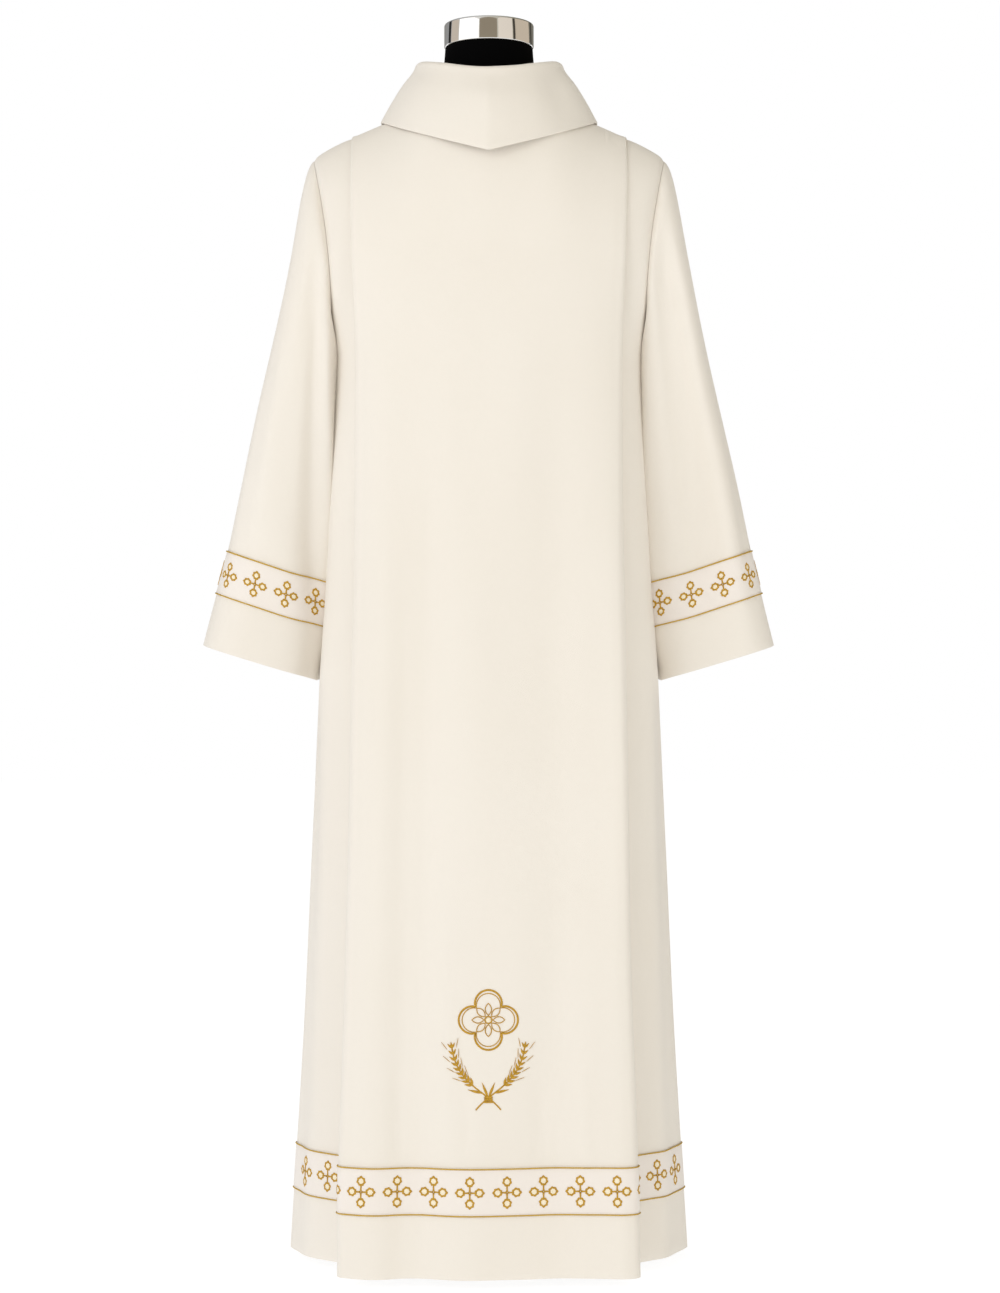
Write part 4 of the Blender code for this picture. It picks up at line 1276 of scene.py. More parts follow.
def find_material(make, name, **values):
    """The material of this name, made the first time it is asked for."""
    if name not in MATERIALS:
        MATERIALS[name] = make(name, **values)
    return MATERIALS[name]


def alb_cloth():
    """The alb's own woven cloth."""
    looks = bpy.context.scene.alb_cloth
    return find_material(
        cloth_material, "alb_twill", colour=looks.colour, warm=looks.warm, thread=looks.thread,
        roughness=looks.roughness, sheen=looks.sheen, bump=looks.weave,
    )


def band_cloth():
    """The finer cloth of the bands."""
    looks = bpy.context.scene.alb_trim
    return find_material(
        cloth_material, "band_satin", colour=looks.band_colour, warm=looks.band_warm,
        thread=looks.band_thread, roughness=0.62, sheen=0.25, bump=0.22,
    )


def find_thread(name):
    """The material of one of the threads."""
    looks, thread = bpy.context.scene.alb_trim, THREADS[name]
    return find_material(
        thread_material, name, colour=getattr(looks, thread.colour), dark=getattr(looks, thread.dark),
        roughness=thread.roughness, thread=thread.strand,
        metallic=PALE_METAL if name == "pale_thread" else looks.gold_metal,
    )


def stroke(build, chart, line, width, height, closed=False):
    """Adds one stitched line: a low rounded ridge along these (s, t) points of a chart."""
    line = np.asarray(line, float)
    if closed:
        ahead, behind = np.roll(line, -1, axis=0), np.roll(line, 1, axis=0)
    else:
        ahead = np.concatenate([line[1:], line[-1:]])
        behind = np.concatenate([line[:1], line[:-1]])
    towards = unit(ahead - behind)
    sideways = np.stack([-towards[:, 1], towards[:, 0]], axis=1)
    width = np.broadcast_to(width, len(line))
    flat = np.empty((len(RIDGE), len(line), 3))
    for row, (across, up) in enumerate(RIDGE):
        flat[row, :, :2] = line + sideways * (across * width)[:, None]
        flat[row, :, 2] = height * up
    points = chart.place(flat)
    steps = np.linalg.norm(np.roll(line, -1, axis=0) - line, axis=1)
    u = np.concatenate([[0.0], np.cumsum(steps)])
    v = np.linspace(0.0, float(width.mean()) * 2, len(RIDGE) + 1)
    start = build.count
    loft(build, points, u, v, closed, True)
    if not closed:
        close_ends(build, start, len(RIDGE), len(line))


def dome(build, chart, middle, radius, height):
    """Adds a low closed dome of satin stitches on the cloth."""
    turns = 2 * np.pi * np.arange(DOME_SIDES) / DOME_SIDES
    flat = np.empty((len(DOME_RINGS), DOME_SIDES, 3))
    for row, (share, up) in enumerate(DOME_RINGS):
        flat[row, :, :2] = np.stack([np.cos(turns), np.sin(turns)], axis=1) * radius * share + middle
        flat[row, :, 2] = height * up
    numbers = np.arange(flat[..., 0].size).reshape(flat.shape[:2])
    faces = []
    for low, high in zip(numbers.tolist(), numbers[1:].tolist()):
        for c in range(DOME_SIDES):
            d = (c + 1) % DOME_SIDES
            faces.append((low[c], low[d], high[d], high[c]))
    faces += [numbers[0, ::-1].tolist(), numbers[-1].tolist()]
    places = flat[..., :2].reshape(-1, 2)
    uvs = [places[i] for face in faces for i in face]
    build.add(chart.place(flat), faces, uvs)


def cord(build, chart, s_values, t, pitch, closed):
    """Adds a thin twisted cord laid along a line of the chart."""
    s_values = np.asarray(s_values, float)
    sides = CORD_SIDES
    turns = 2 * np.pi * np.arange(sides) / sides
    flat = np.empty((sides, len(s_values), 3))
    for side, turn in enumerate(turns):
        twist = turn - 2 * np.pi * (s_values - s_values[0]) / pitch
        radius = CORD_RADIUS * (1 + CORD_PLY * np.cos(2 * twist))
        flat[side, :, 0] = s_values
        flat[side, :, 1] = t + radius * math.cos(turn)
        flat[side, :, 2] = CORD_RADIUS * CORD_HEIGHT + radius * CORD_FLAT * math.sin(turn)
    flat = flat[::-1]
    points = chart.place(flat)
    u = np.append(s_values, s_values[-1] + s_values[1] - s_values[0]) - s_values[0]
    v = np.linspace(0, 2 * math.pi * CORD_RADIUS, sides + 1)
    start = build.count
    loft(build, points, u, v, closed, True)
    if not closed:
        close_ends(build, start, sides, len(s_values))


def arc(middle, radius, start, end, steps):
    """Points along an arc, with its angles in degrees."""
    turns = np.radians(np.linspace(start, end, steps + 1))
    return np.stack([middle[0] + radius * np.cos(turns), middle[1] + radius * np.sin(turns)], axis=1)


def circle(middle, radius, count):
    """This many points round a circle."""
    return arc(middle, radius, 0, 360 - 360 / count, count - 1)


def turned(points, angle, middle):
    """The points, turned round the origin and then moved to this middle."""
    x, y = np.asarray(points, float).T
    cosine, sine = math.cos(angle), math.sin(angle)
    return np.stack([x * cosine - y * sine + middle[0], x * sine + y * cosine + middle[1]], axis=1)


def budded_cross(gold, pale, chart, middle, size):
    """Adds one small cross whose four thin arms end in round buds."""
    turns = np.linspace(0, 2 * math.pi, BUD_STEPS, endpoint=False)
    radius = (BUD_RADIUS - BUD_LINE / 2) * (1 + BUD_SCALLOP * np.cos(BUD_SCALLOPS * turns))
    radius = radius + BUD_TIP * np.exp(-((np.angle(np.exp(1j * turns)) / BUD_TIP_TURN) ** 2))
    width = BUD_LINE * (1 + BUD_LINE_SCALLOP * np.cos(BUD_SCALLOPS * turns))
    for quarter in range(4):
        angle = quarter * math.pi / 2
        bud = (CROSS_HALF_HEIGHT if quarter % 2 else CROSS_HALF_WIDTH) - BUD_RADIUS - BUD_TIP
        arm = np.linspace((ARM_FOOT, 0.0), (bud - BUD_RADIUS * BUD_REACH, 0.0), len(ARM_WIDTHS))
        stroke(gold, chart, turned(arm * size, angle, middle), ARM_WIDTHS, ARM_RISE)
        ring = np.stack([bud + radius * np.cos(turns), radius * np.sin(turns)], axis=1)
        stroke(gold, chart, turned(ring * size, angle, middle), width, BUD_RISE, closed=True)
        place = turned([(bud * size, 0.0)], angle, middle)[0]
        dome(pale, chart, place, (BUD_RADIUS - BUD_LINE * BUD_FILL) * size, BUD_FILL_RISE)
    stroke(gold, chart, circle(middle, KNOT_RADIUS, KNOT_POINTS), KNOT_LINE, BUD_RISE, closed=True)


def smooth_curve(a, b, c, d, steps):
    """Points along a smooth curve from a to d that heads for b and comes from c."""
    t = np.linspace(0, 1, steps + 1)[:, None]
    a, b, c, d = (np.asarray(point, float) for point in (a, b, c, d))
    return (1 - t) ** 3 * a + 3 * t * (1 - t) ** 2 * b + 3 * t**2 * (1 - t) * c + t**3 * d


def quatrefoil(middle, reach, radius):
    """The closed outline of four round lobes."""
    half = reach * math.sqrt(0.5)
    corner = (half + math.sqrt(radius**2 - half**2)) * math.sqrt(0.5)
    turn = math.degrees(math.atan2(corner, corner - reach))
    lobes = []
    for side in range(0, 360, 90):
        a = math.radians(side)
        place = middle[0] + reach * math.cos(a), middle[1] + reach * math.sin(a)
        lobes.append(arc(place, radius, side - turn, side + turn, FOIL_STEPS)[:-1])
    return np.concatenate(lobes)


def petal(middle, angle):
    """The closed outline of one pointed petal."""
    near, far, half = PETAL
    u = np.linspace(0, 1, PETAL_STEPS)
    side = half * np.sin(np.pi * u) ** PETAL_POWER
    x = np.concatenate([mix(near, far, u), mix(far, near, u)[1:-1]])
    y = np.concatenate([side, -side[::-1][1:-1]])
    return turned(np.stack([x, y], axis=1), angle, middle)


def leaf(build, chart, foot, angle, length, width):
    """Adds one grain or blade in satin stitch, widest in its middle."""
    u = np.linspace(0.0, 1.0, LEAF_STEPS)
    line = np.asarray(foot) + np.outer(u * length, (math.cos(angle), math.sin(angle)))
    widths = np.maximum(width * np.sin(np.pi * u**LEAF_POWER), LEAF_LEAST)
    stroke(build, chart, line, widths, EMBLEM_RISE)


def ear_of_wheat(gold, chart, hand):
    """Adds one curved stalk with its grains and awns; hand is 1 for the ear at the right."""
    stalk = smooth_curve(*STALK, STALK_STEPS) * (hand, 1)
    stroke(gold, chart, stalk, EMBLEM_LINE * STALK_LINE, FLAT_RISE)
    heading = np.gradient(stalk, axis=0)
    angles = np.unwrap(np.arctan2(heading[:, 1], heading[:, 0]))
    for number in range(EAR_GRAINS):
        along = mix(EAR_FROM, 1.0, number / (EAR_GRAINS - 1)) * STALK_STEPS
        foot = np.array([np.interp(along, range(STALK_STEPS + 1), stalk[:, i]) for i in (0, 1)])
        angle = float(np.interp(along, range(STALK_STEPS + 1), angles))
        size = 1.0 - GRAIN_SHRINK * number / EAR_GRAINS
        for turn in (-GRAIN_SPREAD, GRAIN_SPREAD):
            leaf(gold, chart, foot, angle + turn, GRAIN_LENGTH * size, GRAIN_WIDTH * size)
            if number % 2:
                tip = foot + GRAIN_LENGTH * np.array([math.cos(angle + turn), math.sin(angle + turn)])
                leaf(gold, chart, tip, angle + turn * AWN_SPREAD, AWN_LENGTH, AWN_WIDTH)
    leaf(gold, chart, stalk[-1], float(angles[-1]), GRAIN_LENGTH * TOP_GRAIN, GRAIN_WIDTH * TOP_GRAIN)
    for share, turn, length in BLADES:
        number = int(share * STALK_STEPS)
        leaf(gold, chart, stalk[number], angles[number] + hand * turn, length, BLADE_WIDTH)


def edge_lengths(chart):
    """The first and last s of a chart."""
    return float(chart.lengths[0]), float(chart.lengths[-1])


def hem_places(chart, pitch, slip):
    """Where the crosses lie along a hem band, an even pitch apart, from the middle both ways."""
    low, high = edge_lengths(chart)
    places = [s * (CROSS_FIRST + pitch * k) for k in range(CROSS_MOST) for s in (-1, 1)]
    places = [s + slip * (s < -CROSS_SLIP_FROM) for s in places]
    return sorted(s for s in places if low + CROSS_KEEP < s < high - CROSS_KEEP)


def cuff_places(chart, count, start):
    """Where the crosses lie round a cuff band; start is the first one's share of a step."""
    low, high = edge_lengths(chart)
    return [low + (high - low) * (i + start) / count for i in range(count)]


def hold_sheet(grid):
    """Works out the size of a piece of cloth's cut and its area, and keeps neither."""
    width, length = (round(size + HALF_MILLIMETRE, 3) for size in grid.width_length())
    round(grid.area(), 4)


def band_and_gold(side, kind, grid, rows, column, places, size=1.0):
    """Makes a band strip with its gold cords and its crosses."""
    low, high = rows
    strip = grid.part(low, high).moved(BAND_RISE)
    band = cloth_piece(f"{kind}_band_{side}", strip, BAND_CLOTH, band_cloth(), "band_cloth")
    before = max(low - BAND_MARGIN_ROWS, 0)
    wide = grid.part(before, high + BAND_MARGIN_ROWS).moved(BAND_RISE)
    start = low - before
    chart = Chart(wide, start + (high - low) // 2, column)
    t_low, t_high = chart.heights[start], chart.heights[start + high - low]
    cords = Build()
    first, last = edge_lengths(chart)
    count = int((last - first) / CORD_STEP)
    if grid.closed:
        turns = round((last - first) / CORD_PITCH)
        s_values = first + (last - first) * np.arange(count) / count
        pitch = (last - first) / turns
    else:
        s_values = np.linspace(first + CORD_END, last - CORD_END, count)
        pitch = CORD_PITCH
    for t in (t_low, t_high):
        cord(cords, chart, s_values, t, pitch, grid.closed)
    pieces = [cords.finish(f"gold_cords_{kind}_{side}", find_thread("cord_thread"), "band_cloth")]
    gold, pale = Build(), Build()
    for s in places(chart):
        budded_cross(gold, pale, chart, (s, (t_low + t_high) / 2), size)
    pieces.append(gold.finish(f"gold_crosses_{kind}_{side}", find_thread("gold_thread"), "band_cloth"))
    pieces.append(pale.finish(f"pale_buds_{kind}_{side}", find_thread("pale_thread"), "band_cloth"))
    hold_sheet(strip)


def colour_setting(name, description, default):
    """A colour that a user may change."""
    return bpy.props.FloatVectorProperty(
        name=name, description=description, default=default, min=0.0, max=1.0, subtype="COLOR",
    )


def share_setting(name, description, default):
    """A value from 0 to 1 that a user may change."""
    return bpy.props.FloatProperty(
        name=name, description=description, default=default, min=0.0, max=1.0, subtype="FACTOR",
    )


def length_setting(name, description, default, least, most):
    """A length that a user may change."""
    return bpy.props.FloatProperty(
        name=name, description=description, default=default, min=least, max=most, subtype="DISTANCE",
    )


def power_setting(name, description, default):
    """A lamp's power, which a user may change."""
    return bpy.props.FloatProperty(
        name=name, description=description, default=default, min=0.0, max=MOST_POWER, unit="POWER",
    )


class ClothSettings(bpy.types.PropertyGroup):
    """The alb's cloth."""

    thickness: length_setting("Thickness", "How thick the alb's cloth is", 0.0013, 0.001, 0.003)
    colour: colour_setting("Colour", "The cloth's main colour", (0.868, 0.820, 0.752))
    warm: colour_setting(
        "Warm tone", "The slightly warmer tone that clouds the cloth", (0.858, 0.806, 0.732),
    )
    thread: length_setting("Twill", "How far apart the ridges of the twill lie", 0.0006, 0.0002, 0.003)
    roughness: share_setting("Roughness", "How matt the cloth is", 0.74)
    sheen: share_setting("Sheen", "How much soft sheen the cloth has", 0.2)
    weave: share_setting("Weave relief", "How strongly the weave shows", 0.25)


class TrimSettings(bpy.types.PropertyGroup):
    """The bands and the gold embroidery."""

    band_colour: colour_setting("Band", "The bands' main colour", (0.876, 0.822, 0.772))
    band_warm: colour_setting("Band tone", "The second tone of the bands", (0.866, 0.808, 0.754))
    band_thread: length_setting(
        "Band twill", "How far apart the ridges of the band's weave lie", 0.00045, 0.0002, 0.003,
    )
    # Each thread has a bright tone for its strands and a deep tone of painted shade between them
    gold: colour_setting("Gold", "The bright side of the gold thread", (0.77, 0.45, 0.050))
    gold_dark: colour_setting("Deep gold", "The gold thread between its strands", (0.17, 0.080, 0.008))
    cord: colour_setting("Cord", "The bright side of the bands' edging cord", (0.78, 0.50, 0.062))
    cord_dark: colour_setting("Deep cord", "The edging cord between its strands", (0.27, 0.16, 0.017))
    gold_metal: share_setting("Metal", "How metallic the gold thread is", 0.15)
    pale_gold: colour_setting(
        "Pale gold", "The bright side of the pale thread in the buds", (0.96, 0.89, 0.72),
    )
    pale_gold_dark: colour_setting(
        "Deep pale gold", "The pale thread between its strands", (0.92, 0.80, 0.56),
    )
    cross_pitch: length_setting(
        "Cross spacing", "How far apart the hem band's crosses lie", 0.0446, 0.03, 0.2,
    )
    cuff_crosses: bpy.props.IntProperty(
        name="Cuff crosses", description="How many crosses go round a cuff band",
        default=12, min=4, max=16,
    )


class FormSettings(bpy.types.PropertyGroup):
    """The dress form and its stand."""

    cover: colour_setting("Cover", "The colour of the form's knitted cover", (0.0012, 0.0012, 0.0014))
    paint: colour_setting("Base", "The colour of the painted base", (0.78, 0.78, 0.77))


class StageSettings(bpy.types.PropertyGroup):
    """The studio."""

    key: power_setting("Key light", "The large light at the left", 31.0)
    fill: power_setting("Fill light", "The large soft light at the right", 20.0)
    top: power_setting("Top light", "The large light above", 15.0)


class ALB_OT_emblem(bpy.types.Operator):
    """Makes the embroidery above the back's hem"""

    bl_idname = "alb.emblem"
    bl_label = "Emblem"

    def execute(self, context):
        grid = body_grid(-1)
        middle = grid.points.shape[1] // 2
        row = int(np.abs(grid.points[:, middle, 2] - EMBLEM_HEIGHT).argmin())
        chart = Chart(grid, row, middle)
        gold, pale = Build(), Build()
        outer = quatrefoil(FOIL_MIDDLE, FOIL_REACH, FOIL_RADIUS)
        inner = quatrefoil(FOIL_MIDDLE, FOIL_INNER_REACH, FOIL_INNER_RADIUS)
        petals = [petal(FOIL_MIDDLE, 2 * math.pi * number / PETALS) for number in range(PETALS)]
        eye = circle(FOIL_MIDDLE, ROSETTE_EYE, EYE_POINTS)
        for outline, width, rise in (
            (outer, EMBLEM_LINE, EMBLEM_RISE),
            (inner, EMBLEM_FINE_LINE, FLAT_RISE),
            *((outline, EMBLEM_FINE_LINE, EMBLEM_RISE) for outline in petals),
            (eye, EMBLEM_LINE * EYE_SHARE, EMBLEM_RISE),
        ):
            stroke(gold, chart, outline, width, rise, closed=True)
        dome(pale, chart, FOIL_MIDDLE, ROSETTE_EYE * EYE_SHARE, EMBLEM_RISE)
        for hand in (-1, 1):
            ear_of_wheat(gold, chart, hand)
        for height in TIE_HEIGHTS:
            line = np.linspace((-TIE_HALF_WIDTH, height), (TIE_HALF_WIDTH, height), TIE_POINTS)
            stroke(gold, chart, line, EMBLEM_LINE, TIE_RISE)
        gold.finish(EMBLEM_PIECES[0], find_thread("gold_thread"), "band_cloth")
        pale.finish(EMBLEM_PIECES[1], find_thread("pale_thread"), "band_cloth")
        return {"FINISHED"}


class ALB_OT_body(bpy.types.Operator):
    """Makes the back and the front panel"""

    bl_idname = "alb.body"
    bl_label = "Back and front"

    def execute(self, context):
        thickness = context.scene.alb_cloth.thickness
        for side, face in (("back", -1), ("front", 1)):
            grid = body_grid(face)
            piece = cloth_piece(side, grid, thickness, alb_cloth(), "alb_cloth", last_round=False)
            hold_sheet(grid)
        return {"FINISHED"}


class ALB_OT_sleeves(bpy.types.Operator):
    """Makes the two sleeves"""

    bl_idname = "alb.sleeves"
    bl_label = "Sleeves"

    def execute(self, context):
        thickness = context.scene.alb_cloth.thickness
        for side, hand in (("left", -1), ("right", 1)):
            grid, node = sleeve_grid(hand), f"sleeve_{side}"
            piece = cloth_piece(node, grid, thickness, alb_cloth(), "alb_cloth", first_round=False)
            hold_sheet(grid)
        return {"FINISHED"}


class ALB_OT_collar(bpy.types.Operator):
    """Makes the turned-down collar"""

    bl_idname = "alb.collar"
    bl_label = "Collar"

    def execute(self, context):
        grid = collar_grid()
        piece = cloth_piece("collar", grid, COLLAR_CLOTH, alb_cloth(), "collar_cloth")
        hold_sheet(grid)
        return {"FINISHED"}


class ALB_OT_bands(bpy.types.Operator):
    """Makes the hem and cuff bands with their gold embroidery"""

    bl_idname = "alb.bands"
    bl_label = "Bands"

    def execute(self, context):
        trim = context.scene.alb_trim
        for side, face, slip in (("back", -1, CROSS_SLIP), ("front", 1, 0.0)):
            grid = body_grid(face)
            heights = [z for z, _ in level_table(face)]
            rows = heights.index(BAND_LOW), heights.index(BAND_HIGH)
            middle = grid.points.shape[1] // 2
            places = partial(hem_places, pitch=trim.cross_pitch, slip=slip)
            band_and_gold(side, "hem", grid, rows, middle, places)
        for side, hand in (("left", -1), ("right", 1)):
            grid = sleeve_grid(hand)
            numbers = [number for number, _ in sleeve_table()]
            rows = [numbers.index(number) for number in CUFF_BAND_RINGS]
            places = partial(cuff_places, count=trim.cuff_crosses, start=CUFF_CROSS_START[hand])
            band_and_gold(side, "cuff", grid, rows, 0, places, CUFF_CROSS_SIZE)
        return {"FINISHED"}


def deselect():
    """Leaves edit mode and selects nothing."""
    if bpy.context.object and bpy.context.object.mode != "OBJECT":
        bpy.ops.object.mode_set(mode="OBJECT")
    bpy.ops.object.select_all(action="DESELECT")


def cylinder(name, radius, low, high, sides=ROUND_SIDES):
    """A new upright cylinder on the form's axis."""
    deselect()
    bpy.ops.mesh.primitive_cylinder_add(
        vertices=sides, radius=radius, depth=high - low, location=(0, 0, (low + high) / 2),
    )
    piece = bpy.context.object
    piece.name = piece.data.name = name
    bpy.ops.object.transform_apply(location=True, rotation=True, scale=True)
    return piece


def shape_top(piece, *steps):
    """Insets the highest face and then moves or extrudes it, once for each (inset, rise, extrude)."""
    top = max(piece.data.polygons, key=lambda face: face.center.z)
    for group in (piece.data.vertices, piece.data.edges, piece.data.polygons):
        for item in group:
            item.select = False
    top.select = True
    bpy.ops.object.mode_set(mode="EDIT")
    bpy.ops.mesh.select_mode(type="FACE")
    for inset, rise, extrude in steps:
        bpy.ops.mesh.inset(thickness=inset, depth=0.0)
        if extrude:
            bpy.ops.mesh.extrude_region_move(TRANSFORM_OT_translate={"value": (0, 0, rise)})
        else:
            bpy.ops.transform.translate(value=(0, 0, rise))
    bpy.ops.object.mode_set(mode="OBJECT")


def put_in_place(piece, material, node):
    """Smooths a hard piece, gives it its material and puts it in its solid's place."""
    bpy.ops.object.shade_smooth_by_angle(angle=SHARP_ANGLE)
    piece.data.materials.clear()
    piece.data.materials.append(material)
    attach(piece, "root")
    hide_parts(node)


def round_rims(piece, bevel):
    """Rounds a turned piece's rims."""
    rim = piece.modifiers.new("rim", "BEVEL")
    rim.width, rim.segments, rim.limit_method = bevel, ROUND_SEGMENTS, "ANGLE"
    rim.angle_limit = SHARP_ANGLE
    bpy.ops.object.modifier_apply(modifier=rim.name)


class ALB_OT_form(bpy.types.Operator):
    """Makes the dress form's cover, its neck cap, pole and base"""

    bl_idname = "alb.form"
    bl_label = "Dress form"

    def execute(self, context):
        looks = context.scene.alb_form
        knit = find_material(
            knit_material, "form_knit", colour=looks.cover, dark=KNIT_DARK, loop=0.0008,
        )
        self.cover(knit)
        low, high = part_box("form_cap")
        cap = cylinder("neck_cap", high.x, low.z, high.z)
        shape_top(cap, *CAP_STEPS)
        round_rims(cap, CAP_ROUND)
        chrome = find_material(
            hard_material, "cap_chrome", colour=CHROME,
            roughness=0.05, metallic=1.0, grain=30.0, bump=0.02,
        )
        put_in_place(cap, chrome, "form_cap")
        low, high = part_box("form_pole")
        pole = cylinder("stand_pole", high.x, low.z, high.z, POLE_SIDES)
        round_rims(pole, POLE_ROUND)
        steel = find_material(
            hard_material, "pole_steel", colour=STEEL,
            roughness=0.22, metallic=1.0, grain=90.0, bump=0.05,
        )
        put_in_place(pole, steel, "form_pole")
        low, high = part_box("form_base")
        base = cylinder("stand_base", high.x, low.z, BASE_THICKNESS)
        shape_top(
            base,
            (high.x - HUB_RADIUS, high.z - BASE_THICKNESS, True),
            (HUB_RADIUS - SOCKET_RADIUS, SOCKET_FLOOR - high.z, True),
        )
        round_rims(base, BASE_ROUND)
        paint = find_material(
            hard_material, "base_paint", colour=looks.paint,
            roughness=0.42, metallic=0.0, grain=700.0, bump=0.35,
        )
        put_in_place(base, paint, "form_base")
        return {"FINISHED"}

    def cover(self, material):
        """A smooth copy of the form's torso and neck."""
        deselect()
        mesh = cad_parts["form_torso"].data.copy()
        mesh.name = "form_cover"
        piece = bpy.data.objects.new("form_cover", mesh)
        bpy.context.scene.collection.objects.link(piece)
        piece.select_set(True)
        bpy.context.view_layer.objects.active = piece
        bpy.ops.object.mode_set(mode="EDIT")
        bpy.ops.mesh.select_all(action="SELECT")
        bpy.ops.mesh.remove_doubles(threshold=DOUBLES)
        bpy.ops.mesh.customdata_custom_splitnormals_clear()
        bpy.ops.mesh.tris_convert_to_quads(face_threshold=RIGHT_ANGLE, shape_threshold=RIGHT_ANGLE)
        bpy.ops.mesh.select_all(action="DESELECT")
        bpy.ops.mesh.edges_select_sharp(sharpness=FORM_RIM_ANGLE)
        bpy.ops.transform.edge_crease(value=1.0)
        bpy.ops.object.mode_set(mode="OBJECT")
        smooth = piece.modifiers.new("smooth", "SUBSURF")
        smooth.levels = smooth.render_levels = 2
        bpy.ops.object.modifier_apply(modifier=smooth.name)
        put_in_place(piece, material, "form_torso")


def glow_material(name, colour):
    """A plain glow for the reflections in the cap."""
    tree = Tree(name)
    tree.set(Base_Color=(0, 0, 0, 1), Emission_Color=(*colour, 1), Emission_Strength=1.0)
    return tree.material


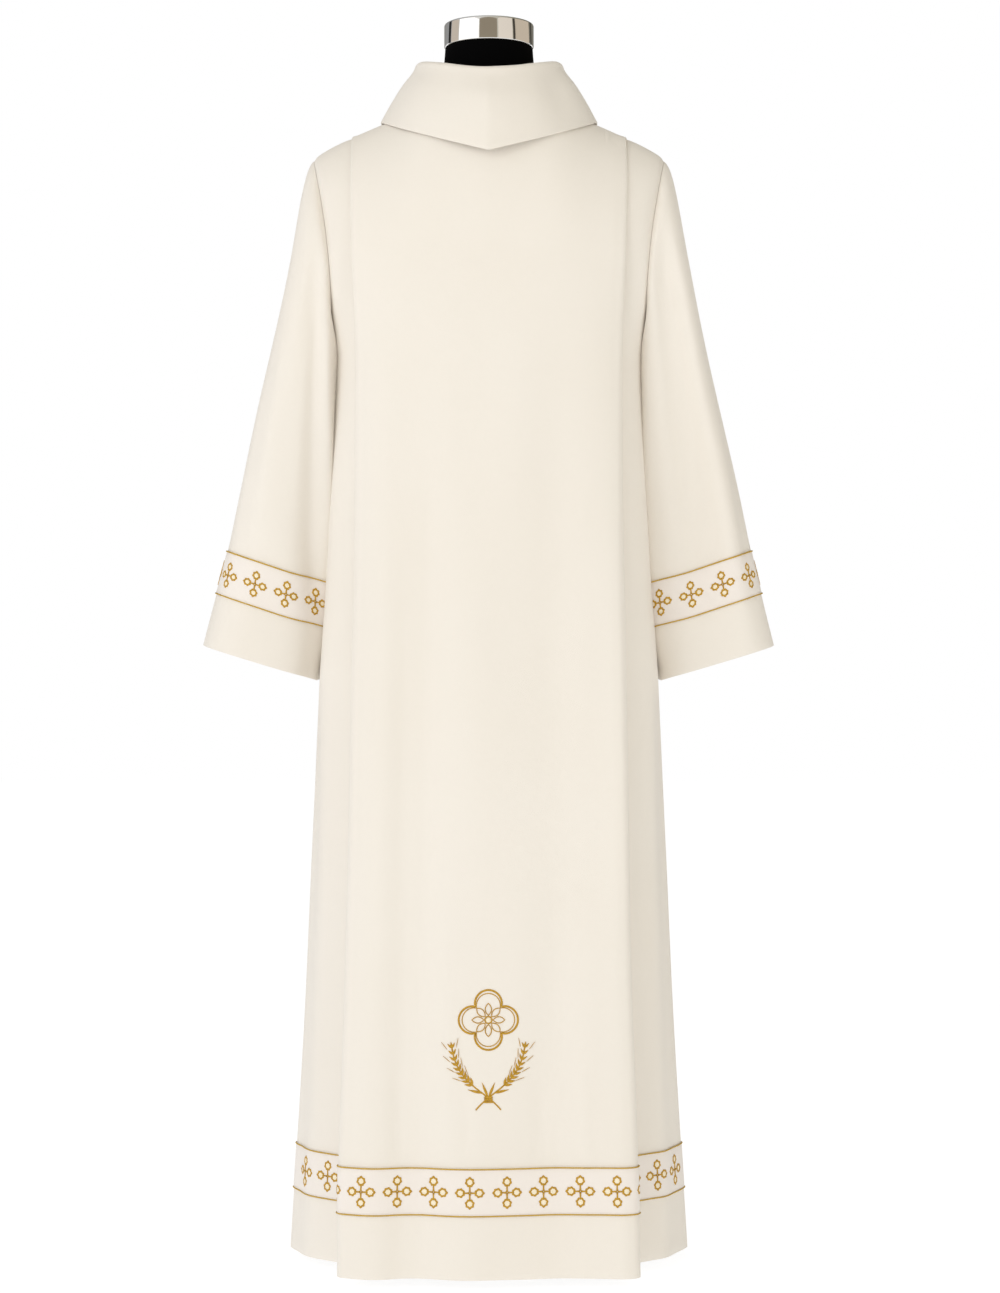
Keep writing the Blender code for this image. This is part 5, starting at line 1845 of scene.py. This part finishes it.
class ALB_OT_stage(bpy.types.Operator):
    """Makes the studio: a pale floor, soft lights, the sky and the camera"""

    bl_idname = "alb.stage"
    bl_label = "Studio"

    def execute(self, context):
        scene = context.scene
        studio = scene.alb_stage
        scene.view_settings.view_transform = "Standard"
        scene.view_settings.look = "None"
        deselect()
        bpy.ops.mesh.primitive_plane_add(size=FLOOR_SIZE, location=(0, 0, 0))
        floor = context.object
        floor.name = "floor"
        tree = Tree("floor_paint")
        tree.set(Roughness=0.9, Emission_Color=(1, 1, 1, 1), Emission_Strength=FLOOR_GLOW)
        tone = tree.noise("Object", Scale=3.0)
        tree.join(tree.blend(tone, *FLOOR_COLOURS), "Base Color")
        floor.data.materials.append(tree.material)
        self.sky(scene)
        self.cards()
        for name, size, place in LAMPS:
            bpy.ops.object.light_add(type="AREA", location=place)
            lamp = context.object
            lamp.name = name
            lamp.data.energy, lamp.data.size = getattr(studio, name), size
            lamp.visible_glossy = False
            aim = Vector(LAMP_AIM) - Vector(place)
            lamp.rotation_euler = aim.to_track_quat("-Z", "Y").to_euler()
        data = bpy.data.cameras.new("camera")
        data.sensor_width, data.lens = CAMERA_SENSOR, CAMERA_LENS
        camera = bpy.data.objects.new("camera", data)
        camera.location, camera.rotation_euler = CAMERA_PLACE, (RIGHT_ANGLE, 0, 0)
        scene.collection.objects.link(camera)
        scene.camera = camera
        return {"FINISHED"}

    def sky(self, scene):
        """A soft sky, bright on the camera's side and at the left, with plain white behind all."""
        world = bpy.data.worlds.new("studio")
        scene.world = world
        world.use_nodes = True
        nodes, links = world.node_tree.nodes, world.node_tree.links
        glow = nodes["Background"]
        place = nodes.new("ShaderNodeTexCoord")
        parts = nodes.new("ShaderNodeSeparateXYZ")
        links.new(place.outputs["Generated"], parts.inputs[0])
        strength = nodes.new("ShaderNodeMath")
        strength.operation = "MULTIPLY"
        for socket, axis, numbers in ((0, "Y", SKY_DEPTH), (1, "X", SKY_WIDTH)):
            value = ranged(nodes, links, parts.outputs[axis], numbers)
            links.new(value, strength.inputs[socket])
        links.new(strength.outputs["Value"], glow.inputs["Strength"])
        tint = nodes.new("ShaderNodeMix")
        tint.data_type = "RGBA"
        tint.inputs[MIX_FIRST].default_value = (*SKY_LEFT_COLOUR, 1.0)
        tint.inputs[MIX_SECOND].default_value = (*SKY_RIGHT_COLOUR, 1.0)
        links.new(ranged(nodes, links, parts.outputs["X"], SKY_TINT), tint.inputs[0])
        links.new(tint.outputs[2], glow.inputs["Color"])
        white = nodes.new("ShaderNodeBackground")
        white.inputs["Color"].default_value = (1, 1, 1, 1)
        path = nodes.new("ShaderNodeLightPath")
        seen = nodes.new("ShaderNodeMixShader")
        links.new(path.outputs["Is Camera Ray"], seen.inputs[0])
        links.new(glow.outputs[0], seen.inputs[1])
        links.new(white.outputs[0], seen.inputs[2])
        links.new(seen.outputs[0], nodes["World Output"].inputs["Surface"])

    def cards(self):
        """Tall cards that only the cap's reflections show."""
        for number, card in enumerate(CARDS):
            start, end = math.radians(card.start), math.radians(card.end)
            middle, reach = (start + end) / 2, CARD_DISTANCE
            width = 2 * reach * math.tan(abs(end - start) / 2)
            place = (reach * math.sin(middle), -reach * math.cos(middle), CARD_HEIGHT)
            deselect()
            bpy.ops.mesh.primitive_plane_add(size=1.0, location=place)
            piece = bpy.context.object
            piece.name = f"card_{number}"
            piece.scale = (width, CARD_TALL, 1.0)
            piece.rotation_euler = (RIGHT_ANGLE, 0, middle)
            piece.data.materials.append(glow_material(f"card_glow_{number}", card.colour))
            piece.visible_camera = piece.visible_diffuse = piece.visible_shadow = False


class ALB_PT_panel(bpy.types.Panel):
    """Lists the alb's pieces and their settings"""

    bl_label = "Alb on a dress form"
    bl_idname = "ALB_PT_panel"
    bl_space_type = "VIEW_3D"
    bl_region_type = "UI"
    bl_category = "Alb"

    def draw(self, context):
        layout = self.layout
        for key, settings in SETTINGS.items():
            box = layout.box()
            box.label(text=settings.__doc__)
            group = getattr(context.scene, key)
            for name in settings.__annotations__:
                box.prop(group, name)
        for operator in OPERATORS:
            layout.operator(operator.bl_idname)


SETTINGS = {
    "alb_cloth": ClothSettings,
    "alb_trim": TrimSettings,
    "alb_form": FormSettings,
    "alb_stage": StageSettings,
}
OPERATORS = (
    ALB_OT_emblem,
    ALB_OT_body,
    ALB_OT_sleeves,
    ALB_OT_collar,
    ALB_OT_bands,
    ALB_OT_form,
    ALB_OT_stage,
)


def register():
    for settings in SETTINGS.values():
        bpy.utils.register_class(settings)
    for operator in OPERATORS:
        bpy.utils.register_class(operator)
    bpy.utils.register_class(ALB_PT_panel)
    for key, settings in SETTINGS.items():
        setattr(bpy.types.Scene, key, bpy.props.PointerProperty(type=settings))


def unregister():
    for key in SETTINGS:
        delattr(bpy.types.Scene, key)
    bpy.utils.unregister_class(ALB_PT_panel)
    for operator in reversed(OPERATORS):
        bpy.utils.unregister_class(operator)
    for settings in SETTINGS.values():
        bpy.utils.unregister_class(settings)


def main():
    register()
    bpy.ops.alb.emblem()
    bpy.ops.alb.body()
    bpy.ops.alb.sleeves()
    bpy.ops.alb.collar()
    bpy.ops.alb.bands()
    bpy.ops.alb.form()
    bpy.ops.alb.stage()


if __name__ == "__main__":
    main()
